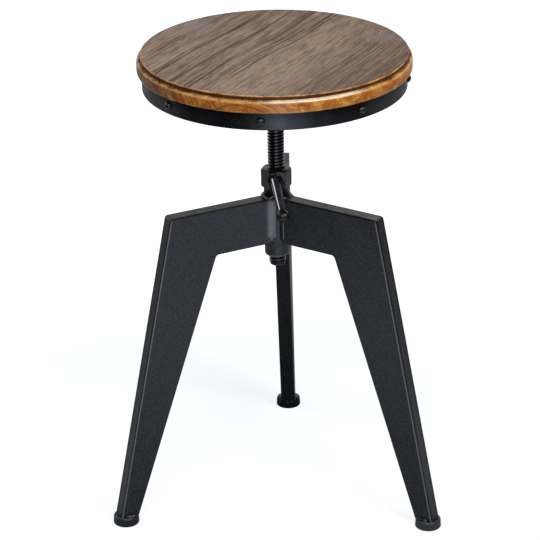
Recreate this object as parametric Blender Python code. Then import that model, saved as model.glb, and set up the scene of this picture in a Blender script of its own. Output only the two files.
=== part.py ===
"""Height adjustable stool.

A round wooden seat with a riveted steel band is carried by a coarse-threaded spindle. The spindle
screws through a hub with three bent box legs, and a hex lock nut with a ball-ended lever holds it.
Lengths are in metres and angles in degrees. The seat's axis is vertical, the front is towards -Y.
"""

import math

import bmesh
import bpy
from mathutils import Euler, Vector

# Clearances
SEATING_GAP = 0.0003  # between pieces that rest on each other
SPINDLE_CLEARANCE = 0.0004  # thread crest to the bores it runs in

# Wooden seat board
SEAT_HEIGHT = 0.5675  # floor to the top of the seat
SEAT_DIAMETER = 0.320
BOARD_THICKNESS = 0.0200
BOARD_STEP_WIDTH = 0.0040  # ledge turned round the top face
BOARD_STEP_DEPTH = 0.0055
BOARD_ARRIS = 0.0012  # worn rounding of the two upper edges
BOARD_LOWER_ROUND = 0.0020
SEAT_TURN = -3.0  # where the seat stops on its thread
BOARD_SEGMENTS = 60

# Steel band under the board, and its rivets
BAND_INSET = 0.0056  # band to the board's edge
BAND_HEIGHT = 0.0206
BAND_THICKNESS = 0.0030
BAND_EDGE = 0.0005
RIVET_COUNT = 8
RIVET_HEAD_DIAMETER = 0.0106
RIVET_HEAD_HEIGHT = 0.0040
RIVET_SHANK_DIAMETER = 0.0054
RIVET_TAIL_DIAMETER = 0.0070
RIVET_TAIL_HEIGHT = 0.0018

# Flat-bar cross that carries the board, between the rivets
CROSS_WIDTH = 0.030
CROSS_THICKNESS = 0.005
CROSS_TURN = 22.5
SCREW_CIRCLE_DIAMETER = 0.200
SCREW_SHANK_DIAMETER = 0.0045
SCREW_HEAD_DIAMETER = 0.0095
SCREW_HEAD_HEIGHT = 0.0030
SCREW_BITE = 0.0130  # screw length inside the board

# Threaded spindle
SPINDLE_DIAMETER = 0.020
THREAD_PITCH = 0.004
THREAD_DEPTH = 0.0020
THREAD_CREST = 0.0012
THREAD_ROOT = 0.0012
THREAD_SEGMENTS = 12
THREAD_END_CHAMFER = 0.0012
THREAD_RUN_OUT = 0.006  # plain length under the spindle's weld
SPINDLE_TAIL = 0.0106  # threaded end below the hub
SPINDLE_WELD = 0.0045

# End stop at the spindle's lower end
STOP_WASHER_DIAMETER = 0.0174
STOP_WASHER_THICKNESS = 0.0026
STOP_WASHER_CHAMFER = 0.0010
STOP_SCREW_DIAMETER = 0.0050
STOP_SCREW_HEAD_DIAMETER = 0.0098
STOP_SCREW_LENGTH = 0.016

# Hub: a tube with two threaded bushes
HUB_WALL = 0.0027
HUB_NECK = 0.0113  # tube above the arms
HUB_SKIRT = 0.0182  # tube below the arms
HUB_TOP_CHAMFER = 0.0006
HUB_SKIRT_ROUND = 0.0030
BUSH_WALL = 0.0016
BUSH_LENGTH = 0.028
BUSH_RECESS = 0.0006
BUSH_CHAMFER = 0.0006

# Bent box legs
LEG_THICKNESS = 0.0179
LEG_WALL = 0.0020
LEG_EDGE = 0.0012  # rounding of the long edges
ARM_TOP_HEIGHT = 0.3870
ARM_DEPTH = 0.0569
ELBOW_OUTER_REACH = 0.1419  # hub axis to the upper corner of the bend
ELBOW_INNER_REACH = 0.0845  # hub axis to the inner corner of the bend
ELBOW_OUTER_RADIUS = 0.0040
ELBOW_INNER_RADIUS = 0.0050
LEG_TIP_WIDTH = 0.0235
LEG_TIP_SETBACK = 0.0019  # leg's tip inboard of the foot's centre

# Feet
FOOT_CIRCLE_DIAMETER = 0.4228
FOOT_DIAMETER = 0.0315
FOOT_HEIGHT = 0.0104
FOOT_FLOOR = 0.0070  # thickness of the cap's floor
FOOT_RIM = 0.0024
FOOT_LIP = 0.0014  # rounding of the rim
FOOT_DRAFT = 0.0006  # rim narrower than the sole
FOOT_ROUND = 0.0014
FOOT_SEGMENTS = 18

# Welds
HUB_WELD_WIDE = 0.0068  # flat fillet up one side of each arm
HUB_WELD_NARROW = 0.0036  # round bead up the other side
HUB_WELD_TOP = 0.0042
HUB_WELD_LOWER_MARGIN = 0.0040
FOOT_WELD_SIZE = 0.0036
FOOT_WELD_LENGTH = 0.0125
LEVER_WELD_SIZE = 0.0028
WELD_CROWN = 0.12  # bulge of a bead, as a share of its size
WELD_FLAT = 0.03  # the same, of a flat fillet

# Lock nut and lever
NUT_ACROSS_FLATS = 0.0320
NUT_HEIGHT = 0.0240
NUT_FACE_INSET = 0.0008  # flats to the turned end faces
NUT_CHAMFER_ANGLE = 30.0
NUT_COUNTERSINK = 0.0010
LEVER_TURN = 9.0  # nut's flat under the lever, from the front towards +X
LEVER_OFFSET = -0.0031  # lever's root from the middle of the flat
LEVER_SKEW = 9.7  # lever's turn away from square to the flat
LEVER_ROOT_RISE = 0.0128  # nut's lower face to the lever's root
LEVER_DROP = 45.0
LEVER_LENGTH = 0.0455  # nut's face to the ball's centre
LEVER_ROOT_DIAMETER = 0.0112
LEVER_TIP_DIAMETER = 0.0094
BALL_DIAMETER = 0.0160
BALL_FLAT_DIAMETER = 0.0104
SPIGOT_DIAMETER = 0.0050
SPIGOT_LENGTH = 0.0060

# Levels and radii that follow from the sizes above
SEAT_RADIUS = SEAT_DIAMETER / 2
BOARD_BOTTOM = SEAT_HEIGHT - BOARD_THICKNESS
BAND_RADIUS = SEAT_RADIUS - BAND_INSET
BAND_INNER_RADIUS = BAND_RADIUS - BAND_THICKNESS
BAND_TOP = BOARD_BOTTOM - SEATING_GAP
BAND_BOTTOM = BAND_TOP - BAND_HEIGHT
CROSS_TOP = BOARD_BOTTOM - SEATING_GAP
CROSS_BOTTOM = CROSS_TOP - CROSS_THICKNESS
SPINDLE_RADIUS = SPINDLE_DIAMETER / 2
BORE_RADIUS = SPINDLE_RADIUS + SPINDLE_CLEARANCE
BUSH_RADIUS = BORE_RADIUS + BUSH_WALL
HUB_INNER_RADIUS = BUSH_RADIUS + SEATING_GAP
HUB_RADIUS = HUB_INNER_RADIUS + HUB_WALL
HUB_SEAT_RADIUS = HUB_RADIUS + SEATING_GAP
ARM_BOTTOM_HEIGHT = ARM_TOP_HEIGHT - ARM_DEPTH
HUB_TOP = ARM_TOP_HEIGHT + HUB_NECK
HUB_BOTTOM = ARM_BOTTOM_HEIGHT - HUB_SKIRT
SPINDLE_BOTTOM = HUB_BOTTOM - SPINDLE_TAIL
STOP_WASHER_TOP = SPINDLE_BOTTOM - SEATING_GAP
STOP_WASHER_BOTTOM = STOP_WASHER_TOP - STOP_WASHER_THICKNESS
NUT_BOTTOM = HUB_TOP + SEATING_GAP
LEG_TIP_HEIGHT = FOOT_HEIGHT + SEATING_GAP
LEG_SIDE = LEG_THICKNESS / 2
FOOT_RADIUS = FOOT_DIAMETER / 2
FOOT_CIRCLE_RADIUS = FOOT_CIRCLE_DIAMETER / 2
LEG_TIP_CENTRE = FOOT_CIRCLE_RADIUS - LEG_TIP_SETBACK
DISC_RADIUS = FOOT_RADIUS - FOOT_RIM - SEATING_GAP
LEG_ANGLES = {"rear": 90.0, "left": 210.0, "right": 330.0}
# The origin lies on the floor in the middle of the stool's outline
AXIS_Y = (SEAT_RADIUS - FOOT_CIRCLE_RADIUS - FOOT_RADIUS) / 2


def linear(red, green, blue):
    """Display colour, 0 to 255, as the linear colour a material takes."""

    def channel(value):
        value /= 255
        return value / 12.92 if value <= 0.04045 else ((value + 0.055) / 1.055) ** 2.4

    return channel(red), channel(green), channel(blue), 1.0


FINISHES = {
    # name: (colour, roughness, metallic)
    "stained_wood": (linear(128, 104, 88), 0.55, 0.0),
    "band_black": (linear(40, 43, 48), 0.38, 0.3),
    "leg_black": (linear(46, 50, 57), 0.42, 0.3),
    "thread_black": (linear(18, 18, 19), 0.28, 0.6),
    "nut_black": (linear(48, 50, 52), 0.36, 0.4),
    "weld_black": (linear(34, 36, 40), 0.45, 0.4),
    "foot_black": (linear(30, 31, 33), 0.50, 0.0),
    "bush_steel": (linear(120, 118, 112), 0.40, 1.0),
    "zinc_steel": (linear(170, 172, 172), 0.35, 1.0),
}


def clear_scene():
    for item in list(bpy.data.objects):
        bpy.data.objects.remove(item)


def finish_material(name):
    material = bpy.data.materials.get(name)
    if material is None:
        colour, roughness, metallic = FINISHES[name]
        material = bpy.data.materials.new(name)
        material.use_nodes = True
        shader = material.node_tree.nodes["Principled BSDF"]
        shader.inputs["Base Color"].default_value = colour
        shader.inputs["Roughness"].default_value = roughness
        shader.inputs["Metallic"].default_value = metallic
        material.diffuse_color = colour
    return material


def add_axis(name, parent=None, location=(0.0, 0.0, 0.0), turn=0.0):
    """Empty on an axis of the stool, which carries the pieces that turn about it."""
    axis = bpy.data.objects.new(name, None)
    axis.empty_display_size = 0.05
    axis.parent = parent
    axis.location = location
    axis.rotation_euler = (0.0, 0.0, math.radians(turn))
    bpy.context.scene.collection.objects.link(axis)
    return axis


def mesh_from(shape, name):
    bmesh.ops.recalc_face_normals(shape, faces=shape.faces)
    mesh = bpy.data.meshes.new(name)
    shape.to_mesh(mesh)
    shape.free()
    return mesh


def add_piece(name, mesh, finish, parent, location=(0.0, 0.0, 0.0), rotation=(0.0, 0.0, 0.0)):
    """One named piece of the stool. mesh is a bmesh, or the mesh of a piece that it repeats."""
    if isinstance(mesh, bmesh.types.BMesh):
        mesh = mesh_from(mesh, name)
        mesh.materials.append(finish_material(finish))
        mesh.shade_smooth()
        mesh.set_sharp_from_angle(angle=math.radians(32))
    piece = bpy.data.objects.new(name, mesh)
    piece.parent = parent
    piece.location = location
    piece.rotation_euler = rotation
    bpy.context.scene.collection.objects.link(piece)
    return piece


def polar(radius, angle, height=0.0):
    """Point at an angle in radians round the vertical axis."""
    return Vector((radius * math.cos(angle), radius * math.sin(angle), height))


def arc(centre, radius, start, end, steps):
    """Points (across, up) on an arc between two angles in degrees, both ends included."""
    angles = [math.radians(start + (end - start) * i / steps) for i in range(steps + 1)]
    return [(centre[0] + radius * math.cos(a), centre[1] + radius * math.sin(a)) for a in angles]


def turned(profile, segments):
    """Revolve (radius, height) points about Z. Ends on the axis stay open, others are joined."""
    shape = bmesh.new()
    points = [shape.verts.new((radius, 0.0, height)) for radius, height in profile]
    edges = [shape.edges.new(pair) for pair in zip(points, points[1:])]
    if profile[0][0] > 0 or profile[-1][0] > 0:
        edges.append(shape.edges.new((points[-1], points[0])))
    bmesh.ops.spin(
        shape, geom=points + edges, cent=(0, 0, 0), axis=(0, 0, 1), dvec=(0, 0, 0),
        angle=math.tau, steps=segments, use_merge=True, use_duplicate=False,
    )
    bmesh.ops.remove_doubles(shape, verts=shape.verts, dist=1e-6)
    return shape


def loft(rings, closed=False):
    """Skin over rings of points. A closed loft joins its last ring to its first."""
    shape = bmesh.new()
    loops = [[shape.verts.new(point) for point in ring] for ring in rings]
    pairs = list(zip(loops, loops[1:]))
    if closed:
        pairs.append((loops[-1], loops[0]))
    else:
        shape.faces.new(loops[0])
        shape.faces.new(loops[-1])
    for one, other in pairs:
        for i in range(len(one)):
            j = (i + 1) % len(one)
            shape.faces.new((one[i], one[j], other[j], other[i]))
    return shape


def prism(outline, low, high, upright=False):
    """Extrude an outline along Z, or along Y where the outline is upright."""
    shape = bmesh.new()
    if upright:
        points = [shape.verts.new((across, low, up)) for across, up in outline]
        way = Vector((0.0, high - low, 0.0))
    else:
        points = [shape.verts.new((x, y, low)) for x, y in outline]
        way = Vector((0.0, 0.0, high - low))
    base = shape.faces.new(points)
    swept = bmesh.ops.extrude_face_region(shape, geom=[base])
    top = [item for item in swept["geom"] if isinstance(item, bmesh.types.BMVert)]
    bmesh.ops.translate(shape, verts=top, vec=way)
    return shape


def cylinder(radius, low, high, segments, centre=(0.0, 0.0)):
    shape = turned([(0.0, low), (radius, low), (radius, high), (0.0, high)], segments)
    bmesh.ops.translate(shape, verts=shape.verts, vec=(centre[0], centre[1], 0.0))
    return shape


def gathered(shapes):
    """Several shapes in one bmesh, to cut with in one go."""
    whole = bmesh.new()
    for shape in shapes:
        mesh = mesh_from(shape, "part_of_cutter")
        whole.from_mesh(mesh)
        bpy.data.meshes.remove(mesh)
    return whole


def combined(shape, other, operation="DIFFERENCE"):
    """Result of a Boolean between two shapes, as a new bmesh."""
    base = bpy.data.objects.new("base", mesh_from(shape, "base"))
    tool = bpy.data.objects.new("tool", mesh_from(other, "tool"))
    for item in (base, tool):
        bpy.context.scene.collection.objects.link(item)
    modifier = base.modifiers.new("boolean", "BOOLEAN")
    modifier.operation = operation
    modifier.solver = "EXACT"
    modifier.object = tool
    result = bmesh.new()
    result.from_object(base, bpy.context.evaluated_depsgraph_get())
    for item in (base, tool):
        mesh = item.data
        bpy.data.objects.remove(item)
        bpy.data.meshes.remove(mesh)
    bmesh.ops.remove_doubles(result, verts=result.verts, dist=1e-7)
    return result


def offset_outline(outline, distances):
    """Move each side of an outline inwards by its own distance and join the sides again."""
    count = len(outline)
    area = sum(
        outline[i][0] * outline[(i + 1) % count][1] - outline[(i + 1) % count][0] * outline[i][1]
        for i in range(count)
    )
    turn = 1.0 if area > 0 else -1.0
    sides = []
    for i, distance in enumerate(distances):
        start, end = Vector(outline[i]), Vector(outline[(i + 1) % count])
        along = (end - start).normalized()
        inward = Vector((-along.y, along.x)) * turn
        sides.append((start + inward * distance, along))
    moved = []
    for i in range(count):
        (p, u), (q, v) = sides[i - 1], sides[i]
        reach = (q - p).cross(v) / u.cross(v)
        moved.append(tuple(p + u * reach))
    return moved


def rounded_outline(outline, radii, steps=4):
    """Round each corner of an outline by its own radius; 0 keeps it sharp."""
    points = []
    count = len(outline)
    for i, radius in enumerate(radii):
        corner = Vector(outline[i])
        back = (Vector(outline[i - 1]) - corner).normalized()
        ahead = (Vector(outline[(i + 1) % count]) - corner).normalized()
        if radius <= 0:
            points.append(tuple(corner))
            continue
        half = back.angle(ahead) / 2
        centre = corner + (back + ahead).normalized() * radius / math.sin(half)
        first = corner + back * radius / math.tan(half) - centre
        last = corner + ahead * radius / math.tan(half) - centre
        sweep = first.angle_signed(last)
        for step in range(steps + 1):
            angle = -sweep * step / steps
            cos, sin = math.cos(angle), math.sin(angle)
            points.append(
                (
                    centre.x + first.x * cos - first.y * sin,
                    centre.y + first.x * sin + first.y * cos,
                )
            )
    return points


def bead_section(root, along_one, along_other, middle, bulge=WELD_CROWN):
    """Five-sided section of a fillet weld, with a crown between its two toes."""
    crown = (along_one + along_other) / 2
    crown += (crown - root) * 2 * bulge
    return [root, along_one, crown, along_other, middle]


def board_shape():
    """Seat board with its turned step, worn arrises and pilot holes for the screws."""
    top, edge = BOARD_THICKNESS, SEAT_RADIUS
    ledge = top - BOARD_STEP_DEPTH
    inner = edge - BOARD_STEP_WIDTH
    profile = [(0.0, 0.0)]
    profile += arc((edge - BOARD_LOWER_ROUND, BOARD_LOWER_ROUND), BOARD_LOWER_ROUND, -90, 0, 2)
    profile += arc((edge - BOARD_ARRIS, ledge - BOARD_ARRIS), BOARD_ARRIS, 0, 90, 2)
    profile += [(inner, ledge)]
    profile += arc((inner - BOARD_ARRIS, top - BOARD_ARRIS), BOARD_ARRIS, 0, 90, 2)
    profile += [(0.0, top)]
    board = turned(profile, BOARD_SEGMENTS)
    radius = SCREW_SHANK_DIAMETER / 2 + SEATING_GAP
    depth = SCREW_BITE + SEATING_GAP
    holes = [
        cylinder(radius, -depth, depth, 8, polar(SCREW_CIRCLE_DIAMETER / 2, angle).xy)
        for angle in screw_angles()
    ]
    return combined(board, gathered(holes))


def screw_angles():
    return [math.radians(CROSS_TURN + 90 * i) for i in range(4)]


def rivet_angles():
    return [math.radians(-90 + 360 / RIVET_COUNT * i) for i in range(RIVET_COUNT)]


def band_shape():
    """Rolled flat band with a row of rivet holes."""
    outer, inner, height, edge = BAND_RADIUS, BAND_INNER_RADIUS, BAND_HEIGHT, BAND_EDGE
    band = turned(
        [
            (inner, 0.0), (outer - edge, 0.0), (outer, edge),
            (outer, height - edge), (outer - edge, height), (inner, height),
        ],
        BOARD_SEGMENTS,
    )
    drills = []
    for angle in rivet_angles():
        drill = cylinder(RIVET_SHANK_DIAMETER / 2 + SEATING_GAP, -0.5, 0.5, 10)
        span = BAND_THICKNESS * 4
        bmesh.ops.scale(drill, verts=drill.verts, vec=(1.0, 1.0, span))
        bmesh.ops.rotate(drill, verts=drill.verts, matrix=Euler((0, math.pi / 2, angle)).to_matrix())
        middle = polar((outer + inner) / 2, angle, height / 2)
        bmesh.ops.translate(drill, verts=drill.verts, vec=middle)
        drills.append(drill)
    return combined(band, gathered(drills))


def rivet_shape():
    """Dome-headed rivet along Z, with the band's outer face at height 0."""
    head, shank, tail = RIVET_HEAD_DIAMETER / 2, RIVET_SHANK_DIAMETER / 2, RIVET_TAIL_DIAMETER / 2
    inside = -BAND_THICKNESS - SEATING_GAP
    dome = (head**2 + RIVET_HEAD_HEIGHT**2) / (2 * RIVET_HEAD_HEIGHT)
    centre = SEATING_GAP + RIVET_HEAD_HEIGHT - dome
    rim = math.degrees(math.asin((dome - RIVET_HEAD_HEIGHT) / dome))
    profile = [(0.0, inside - RIVET_TAIL_HEIGHT), (tail, inside - RIVET_TAIL_HEIGHT)]
    profile += [(tail, inside), (shank, inside), (shank, SEATING_GAP)]
    profile += arc((0.0, centre), dome, rim, 90, 3)[:-1]
    profile += [(0.0, SEATING_GAP + RIVET_HEAD_HEIGHT)]
    return turned(profile, 10)


def cross_shape():
    """Flat-bar cross with the spindle's hole in its middle and a screw hole on each bar."""
    half = CROSS_WIDTH / 2
    reach = math.sqrt((BAND_INNER_RADIUS - SEATING_GAP) ** 2 - half**2)
    quarter = [(reach, -half), (reach, half), (half, half)]
    outline = []
    for turn in range(4):
        for x, y in quarter:
            for _ in range(turn):
                x, y = -y, x
            outline.append((x, y))
    bars = prism(outline, CROSS_BOTTOM, CROSS_TOP)
    low, high = CROSS_BOTTOM - CROSS_THICKNESS, CROSS_TOP + CROSS_THICKNESS
    drills = [cylinder(SPINDLE_RADIUS + SEATING_GAP, low, high, 24)]
    for i in range(4):
        place = polar(SCREW_CIRCLE_DIAMETER / 2, math.radians(90 * i))
        drills.append(cylinder(SCREW_SHANK_DIAMETER / 2 + SEATING_GAP, low, high, 8, place.xy))
    return combined(bars, gathered(drills))


def seat_screw_shape():
    """Pan-head wood screw, with the cross's lower face at height 0."""
    head, shank = SCREW_HEAD_DIAMETER / 2, SCREW_SHANK_DIAMETER / 2
    under = -SEATING_GAP
    tip = CROSS_THICKNESS + SEATING_GAP + SCREW_BITE
    profile = [(0.0, under - SCREW_HEAD_HEIGHT), (head * 0.7, under - SCREW_HEAD_HEIGHT)]
    profile += [(head, under - SCREW_HEAD_HEIGHT * 0.5), (head, under), (shank, under)]
    profile += [(shank, tip - shank * 1.5), (0.0, tip)]
    return turned(profile, 8)


def spindle_shape():
    """Spindle with a right-hand trapezoidal thread that fades out under the seat."""
    root = SPINDLE_RADIUS - THREAD_DEPTH
    flank = (THREAD_PITCH - THREAD_CREST - THREAD_ROOT) / 2
    tooth = [
        (0.0, 0.0), (THREAD_ROOT, 0.0),
        (THREAD_ROOT + flank, 1.0), (THREAD_ROOT + flank + THREAD_CREST, 1.0),
    ]
    per_turn = THREAD_SEGMENTS
    start = SPINDLE_BOTTOM - THREAD_PITCH
    shoulder = CROSS_BOTTOM - THREAD_RUN_OUT
    last = per_turn * (int((shoulder - start) / THREAD_PITCH) - 1)
    fade = per_turn / 2
    shape = bmesh.new()
    points = {}

    def point(step, corner):
        if corner == len(tooth):
            step, corner = step + per_turn, 0
        if (step, corner) not in points:
            rise, share = tooth[corner]
            full = max(0.0, min(1.0, (last - step) / fade))
            radius = root + THREAD_DEPTH * share * full
            height = start + THREAD_PITCH * step / per_turn + rise
            points[step, corner] = shape.verts.new(polar(radius, math.tau * step / per_turn, height))
        return points[step, corner]

    def ring(radius, height):
        return [shape.verts.new(polar(radius, math.tau * i / per_turn, height)) for i in range(per_turn)]

    def bridge(lower, upper):
        for i in range(per_turn):
            j = (i + 1) % per_turn
            shape.faces.new((lower[i], lower[j], upper[j], upper[i]))

    for step in range(last):
        for corner in range(len(tooth)):
            shape.faces.new(
                (
                    point(step, corner), point(step + 1, corner),
                    point(step + 1, corner + 1), point(step, corner + 1),
                )
            )
    # Plain ends: a fan closes the one step in each helical edge
    low, high = ring(root, start - THREAD_PITCH), ring(root, shoulder)
    for i in range(per_turn - 1):
        shape.faces.new((low[i], low[i + 1], point(i + 1, 0), point(i, 0)))
    for i in range(1, per_turn):
        k = last + i
        shape.faces.new((point(k, 0), point(k + 1, 0), high[(i + 1) % per_turn], high[i]))
    hinge = point(per_turn - 1, 0)
    edge = [low[-1], low[0]] + [point(0, corner) for corner in range(len(tooth) + 1)]
    for one, other in zip(edge, edge[1:]):
        shape.faces.new((hinge, one, other))
    hinge = point(last + 1, 0)
    edge = [high[1], high[0]] + [point(last, corner) for corner in range(len(tooth), -1, -1)]
    for one, other in zip(edge, edge[1:]):
        shape.faces.new((hinge, one, other))
    # Plain shank in the cross above
    neck, head = ring(SPINDLE_RADIUS, shoulder), ring(SPINDLE_RADIUS, CROSS_TOP)
    bridge(high, neck)
    bridge(neck, head)
    shape.faces.new(head)
    shape.faces.new(low)
    return combined(shape, spindle_blank(), "INTERSECT")


def spindle_blank():
    """Bar that leaves the thread whole, except for its chamfered end and the end stop's screw hole."""
    wide, over = SPINDLE_RADIUS + SPINDLE_CLEARANCE, CROSS_TOP + THREAD_PITCH
    hole = STOP_SCREW_DIAMETER / 2 + SEATING_GAP
    depth = STOP_WASHER_BOTTOM + STOP_SCREW_LENGTH + SEATING_GAP
    end = SPINDLE_RADIUS - THREAD_END_CHAMFER
    return turned(
        [
            (0.0, depth), (hole, depth), (hole, SPINDLE_BOTTOM), (end, SPINDLE_BOTTOM),
            (wide, SPINDLE_BOTTOM + wide - end), (wide, over), (0.0, over),
        ],
        24,
    )


def spindle_weld_shape():
    inner = SPINDLE_RADIUS + SEATING_GAP
    top = CROSS_BOTTOM - SEATING_GAP
    size = SPINDLE_WELD
    bulge = size * (0.5 + WELD_CROWN)
    return turned([(inner, top), (inner + size, top), (inner + bulge, top - bulge), (inner, top - size)], 16)


def stop_washer_shape():
    """Washer as wide as the thread, countersunk from below."""
    outer, low, high = STOP_WASHER_DIAMETER / 2, STOP_WASHER_BOTTOM, STOP_WASHER_TOP
    bore = STOP_SCREW_DIAMETER / 2 + SEATING_GAP
    sink = STOP_SCREW_HEAD_DIAMETER / 2 + SEATING_GAP
    return turned(
        [
            (sink, low), (outer - STOP_WASHER_CHAMFER, low), (outer, low + STOP_WASHER_CHAMFER),
            (outer, high), (bore, high), (bore, low + sink - bore),
        ],
        16,
    )


def stop_screw_shape():
    shank, head = STOP_SCREW_DIAMETER / 2, STOP_SCREW_HEAD_DIAMETER / 2
    low = STOP_WASHER_BOTTOM
    return turned(
        [
            (0.0, low), (head, low), (shank, low + head - shank),
            (shank, low + STOP_SCREW_LENGTH), (0.0, low + STOP_SCREW_LENGTH),
        ],
        12,
    )


def hub_shape():
    inner, outer = HUB_INNER_RADIUS, HUB_RADIUS
    return turned(
        [
            (inner, HUB_TOP), (inner, HUB_BOTTOM),
            *arc((outer - HUB_SKIRT_ROUND, HUB_BOTTOM + HUB_SKIRT_ROUND), HUB_SKIRT_ROUND, -75, 0, 3),
            (outer, HUB_TOP - HUB_TOP_CHAMFER), (outer - HUB_TOP_CHAMFER, HUB_TOP),
        ],
        30,
    )


def bush_shape():
    """Threaded bush from height 0 up, with its bore opened a little at both ends."""
    wide, bore, length, mouth = BUSH_RADIUS, BORE_RADIUS, BUSH_LENGTH, BUSH_CHAMFER
    return turned(
        [
            (bore + mouth, 0.0), (wide, 0.0), (wide, length),
            (bore + mouth, length), (bore, length - mouth), (bore, mouth),
        ],
        16,
    )


def leg_shape():
    """Hollow box leg in its own upright plane, coped round the hub and open towards it."""
    root = HUB_RADIUS / 2
    outline = [
        (root, ARM_TOP_HEIGHT), (ELBOW_OUTER_REACH, ARM_TOP_HEIGHT),
        (LEG_TIP_CENTRE + LEG_TIP_WIDTH / 2, LEG_TIP_HEIGHT),
        (LEG_TIP_CENTRE - LEG_TIP_WIDTH / 2, LEG_TIP_HEIGHT),
        (ELBOW_INNER_REACH, ARM_BOTTOM_HEIGHT), (root, ARM_BOTTOM_HEIGHT),
    ]
    bends = [0.0, ELBOW_OUTER_RADIUS, 0.0, 0.0, ELBOW_INNER_RADIUS, 0.0]
    box = prism(rounded_outline(outline, bends), -LEG_SIDE, LEG_SIDE, upright=True)
    long_edges = [
        edge
        for edge in box.edges
        if abs(edge.verts[0].co.y - edge.verts[1].co.y) < 1e-6
        and max(vert.co.z for vert in edge.verts) > LEG_TIP_HEIGHT + 1e-6
    ]
    bmesh.ops.bevel(
        box, geom=long_edges, offset=LEG_EDGE, offset_type="OFFSET", segments=2, profile=0.5,
        affect="EDGES", clamp_overlap=True,
    )
    walls = [LEG_WALL] * 5 + [-root]
    hollow = [
        0.0, max(ELBOW_OUTER_RADIUS - LEG_WALL, LEG_WALL / 2), 0.0, 0.0,
        ELBOW_INNER_RADIUS + LEG_WALL, 0.0,
    ]
    inside = LEG_SIDE - LEG_WALL
    cavity = prism(
        rounded_outline(offset_outline(outline, walls), hollow), -inside, inside, upright=True
    )
    leg = combined(box, cavity)
    cope = cylinder(HUB_SEAT_RADIUS, ARM_BOTTOM_HEIGHT - ARM_DEPTH, ARM_TOP_HEIGHT + ARM_DEPTH, 48)
    return combined(leg, cope)


def hub_weld_shape():
    """Fillet weld of one arm: up one side, over the top and down the other side."""
    wide = LEG_SIDE + SEATING_GAP
    top = ARM_TOP_HEIGHT + SEATING_GAP
    low = ARM_BOTTOM_HEIGHT + HUB_WELD_LOWER_MARGIN
    hub = HUB_SEAT_RADIUS
    edge = math.asin(wide / hub)

    def bead(sign):
        return (HUB_WELD_WIDE, WELD_FLAT) if sign > 0 else (HUB_WELD_NARROW, WELD_CROWN)

    def side(sign, height, share):
        width, bulge = bead(sign)
        size = width * share
        root = polar(hub, sign * edge, height)
        return bead_section(
            root, root + Vector((size, 0.0, 0.0)), polar(hub, sign * (edge + size / hub), height),
            polar(hub, sign * (edge + size / hub / 2), height), bulge,
        )

    def corner(sign, share):
        """Section that swings from the arm's side (share 0) to its top (share 1)."""
        swing = math.radians(90 * share)
        width, bulge = bead(sign)
        size = width + (HUB_WELD_TOP - width) * share
        angle = edge * (1 - 0.12 * share)
        height = top - SEATING_GAP * (1 - share)
        root = polar(hub, sign * angle, height)
        turn, lift = size * math.cos(swing) / hub, size * math.sin(swing)
        return bead_section(
            root, root + Vector((size, 0.0, 0.0)),
            polar(hub, sign * (angle + turn), height + lift),
            polar(hub, sign * (angle + turn / 2), height + lift / 2), bulge,
        )

    def over(angle):
        root = polar(hub, angle, top)
        return bead_section(
            root, root + Vector((HUB_WELD_TOP, 0.0, 0.0)), root + Vector((0.0, 0.0, HUB_WELD_TOP)),
            root + Vector((0.0, 0.0, HUB_WELD_TOP / 2)),
        )

    def climb(sign):
        """Heights up one side, with the bead's size there as a share of its full size."""
        width, _ = bead(sign)
        return ((low, 0.25), (low + width * 0.9, 1.0), (top - width / 2, 1.0))

    swings = (0.33, 0.67, 1.0)
    rise = [side(1, *place) for place in climb(1)] + [corner(1, share) for share in swings]
    crest = [over(edge * share) for share in (0.6, 0.3, 0.0, -0.3, -0.6)]
    fall = [corner(-1, share) for share in reversed(swings)]
    fall += [side(-1, *place) for place in reversed(climb(-1))]
    return loft(rise + crest + fall)


def foot_weld_shape(sign):
    """Short fillet weld between one broad face of a leg and its foot disc."""
    face = sign * (LEG_SIDE + SEATING_GAP)
    rings = []
    for place, share in ((-0.5, 0.4), (-0.3, 0.95), (0.0, 1.0), (0.3, 0.95), (0.5, 0.4)):
        size = FOOT_WELD_SIZE * share
        root = Vector((LEG_TIP_CENTRE + FOOT_WELD_LENGTH * place, face, LEG_TIP_HEIGHT))
        out, up = Vector((0.0, sign * size, 0.0)), Vector((0.0, 0.0, size))
        rings.append(bead_section(root, root + out, root + up, root + up / 2))
    return loft(rings)


def foot_cap_shape():
    """Cup-shaped cap with a rounded sole and a rounded rim."""
    outer, rim = FOOT_RADIUS, FOOT_RADIUS - FOOT_RIM
    profile = arc((outer - FOOT_ROUND, FOOT_ROUND), FOOT_ROUND, -90, 0, 2)
    lip = FOOT_RADIUS - FOOT_DRAFT - FOOT_LIP
    profile += arc((lip, FOOT_HEIGHT - FOOT_LIP), FOOT_LIP, 0, 90, 3)
    profile += [(rim, FOOT_HEIGHT), (rim, FOOT_FLOOR), (0.0, FOOT_FLOOR)]
    return turned([(0.0, 0.0)] + profile, FOOT_SEGMENTS)


def foot_disc_shape():
    return cylinder(DISC_RADIUS, FOOT_FLOOR + SEATING_GAP, FOOT_HEIGHT, FOOT_SEGMENTS)


def nut_shape():
    """Hex nut with turned end faces; one flat faces +X."""
    corner = NUT_ACROSS_FLATS / math.sqrt(3)
    face = NUT_ACROSS_FLATS / 2 - NUT_FACE_INSET
    rim = corner + NUT_FACE_INSET
    drop = (rim - face) * math.tan(math.radians(NUT_CHAMFER_ANGLE))
    low, high = NUT_BOTTOM, NUT_BOTTOM + NUT_HEIGHT
    bore, sink = BORE_RADIUS, NUT_COUNTERSINK
    blank = turned(
        [
            (bore + sink, low), (face, low), (rim, low + drop), (rim, high - drop), (face, high),
            (bore + sink, high), (bore, high - sink), (bore, low + sink),
        ],
        30,
    )
    corners = [polar(corner, math.radians(30 + 60 * i)).xy for i in range(6)]
    return combined(blank, prism(corners, low - NUT_HEIGHT, high + NUT_HEIGHT), "INTERSECT")


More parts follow.
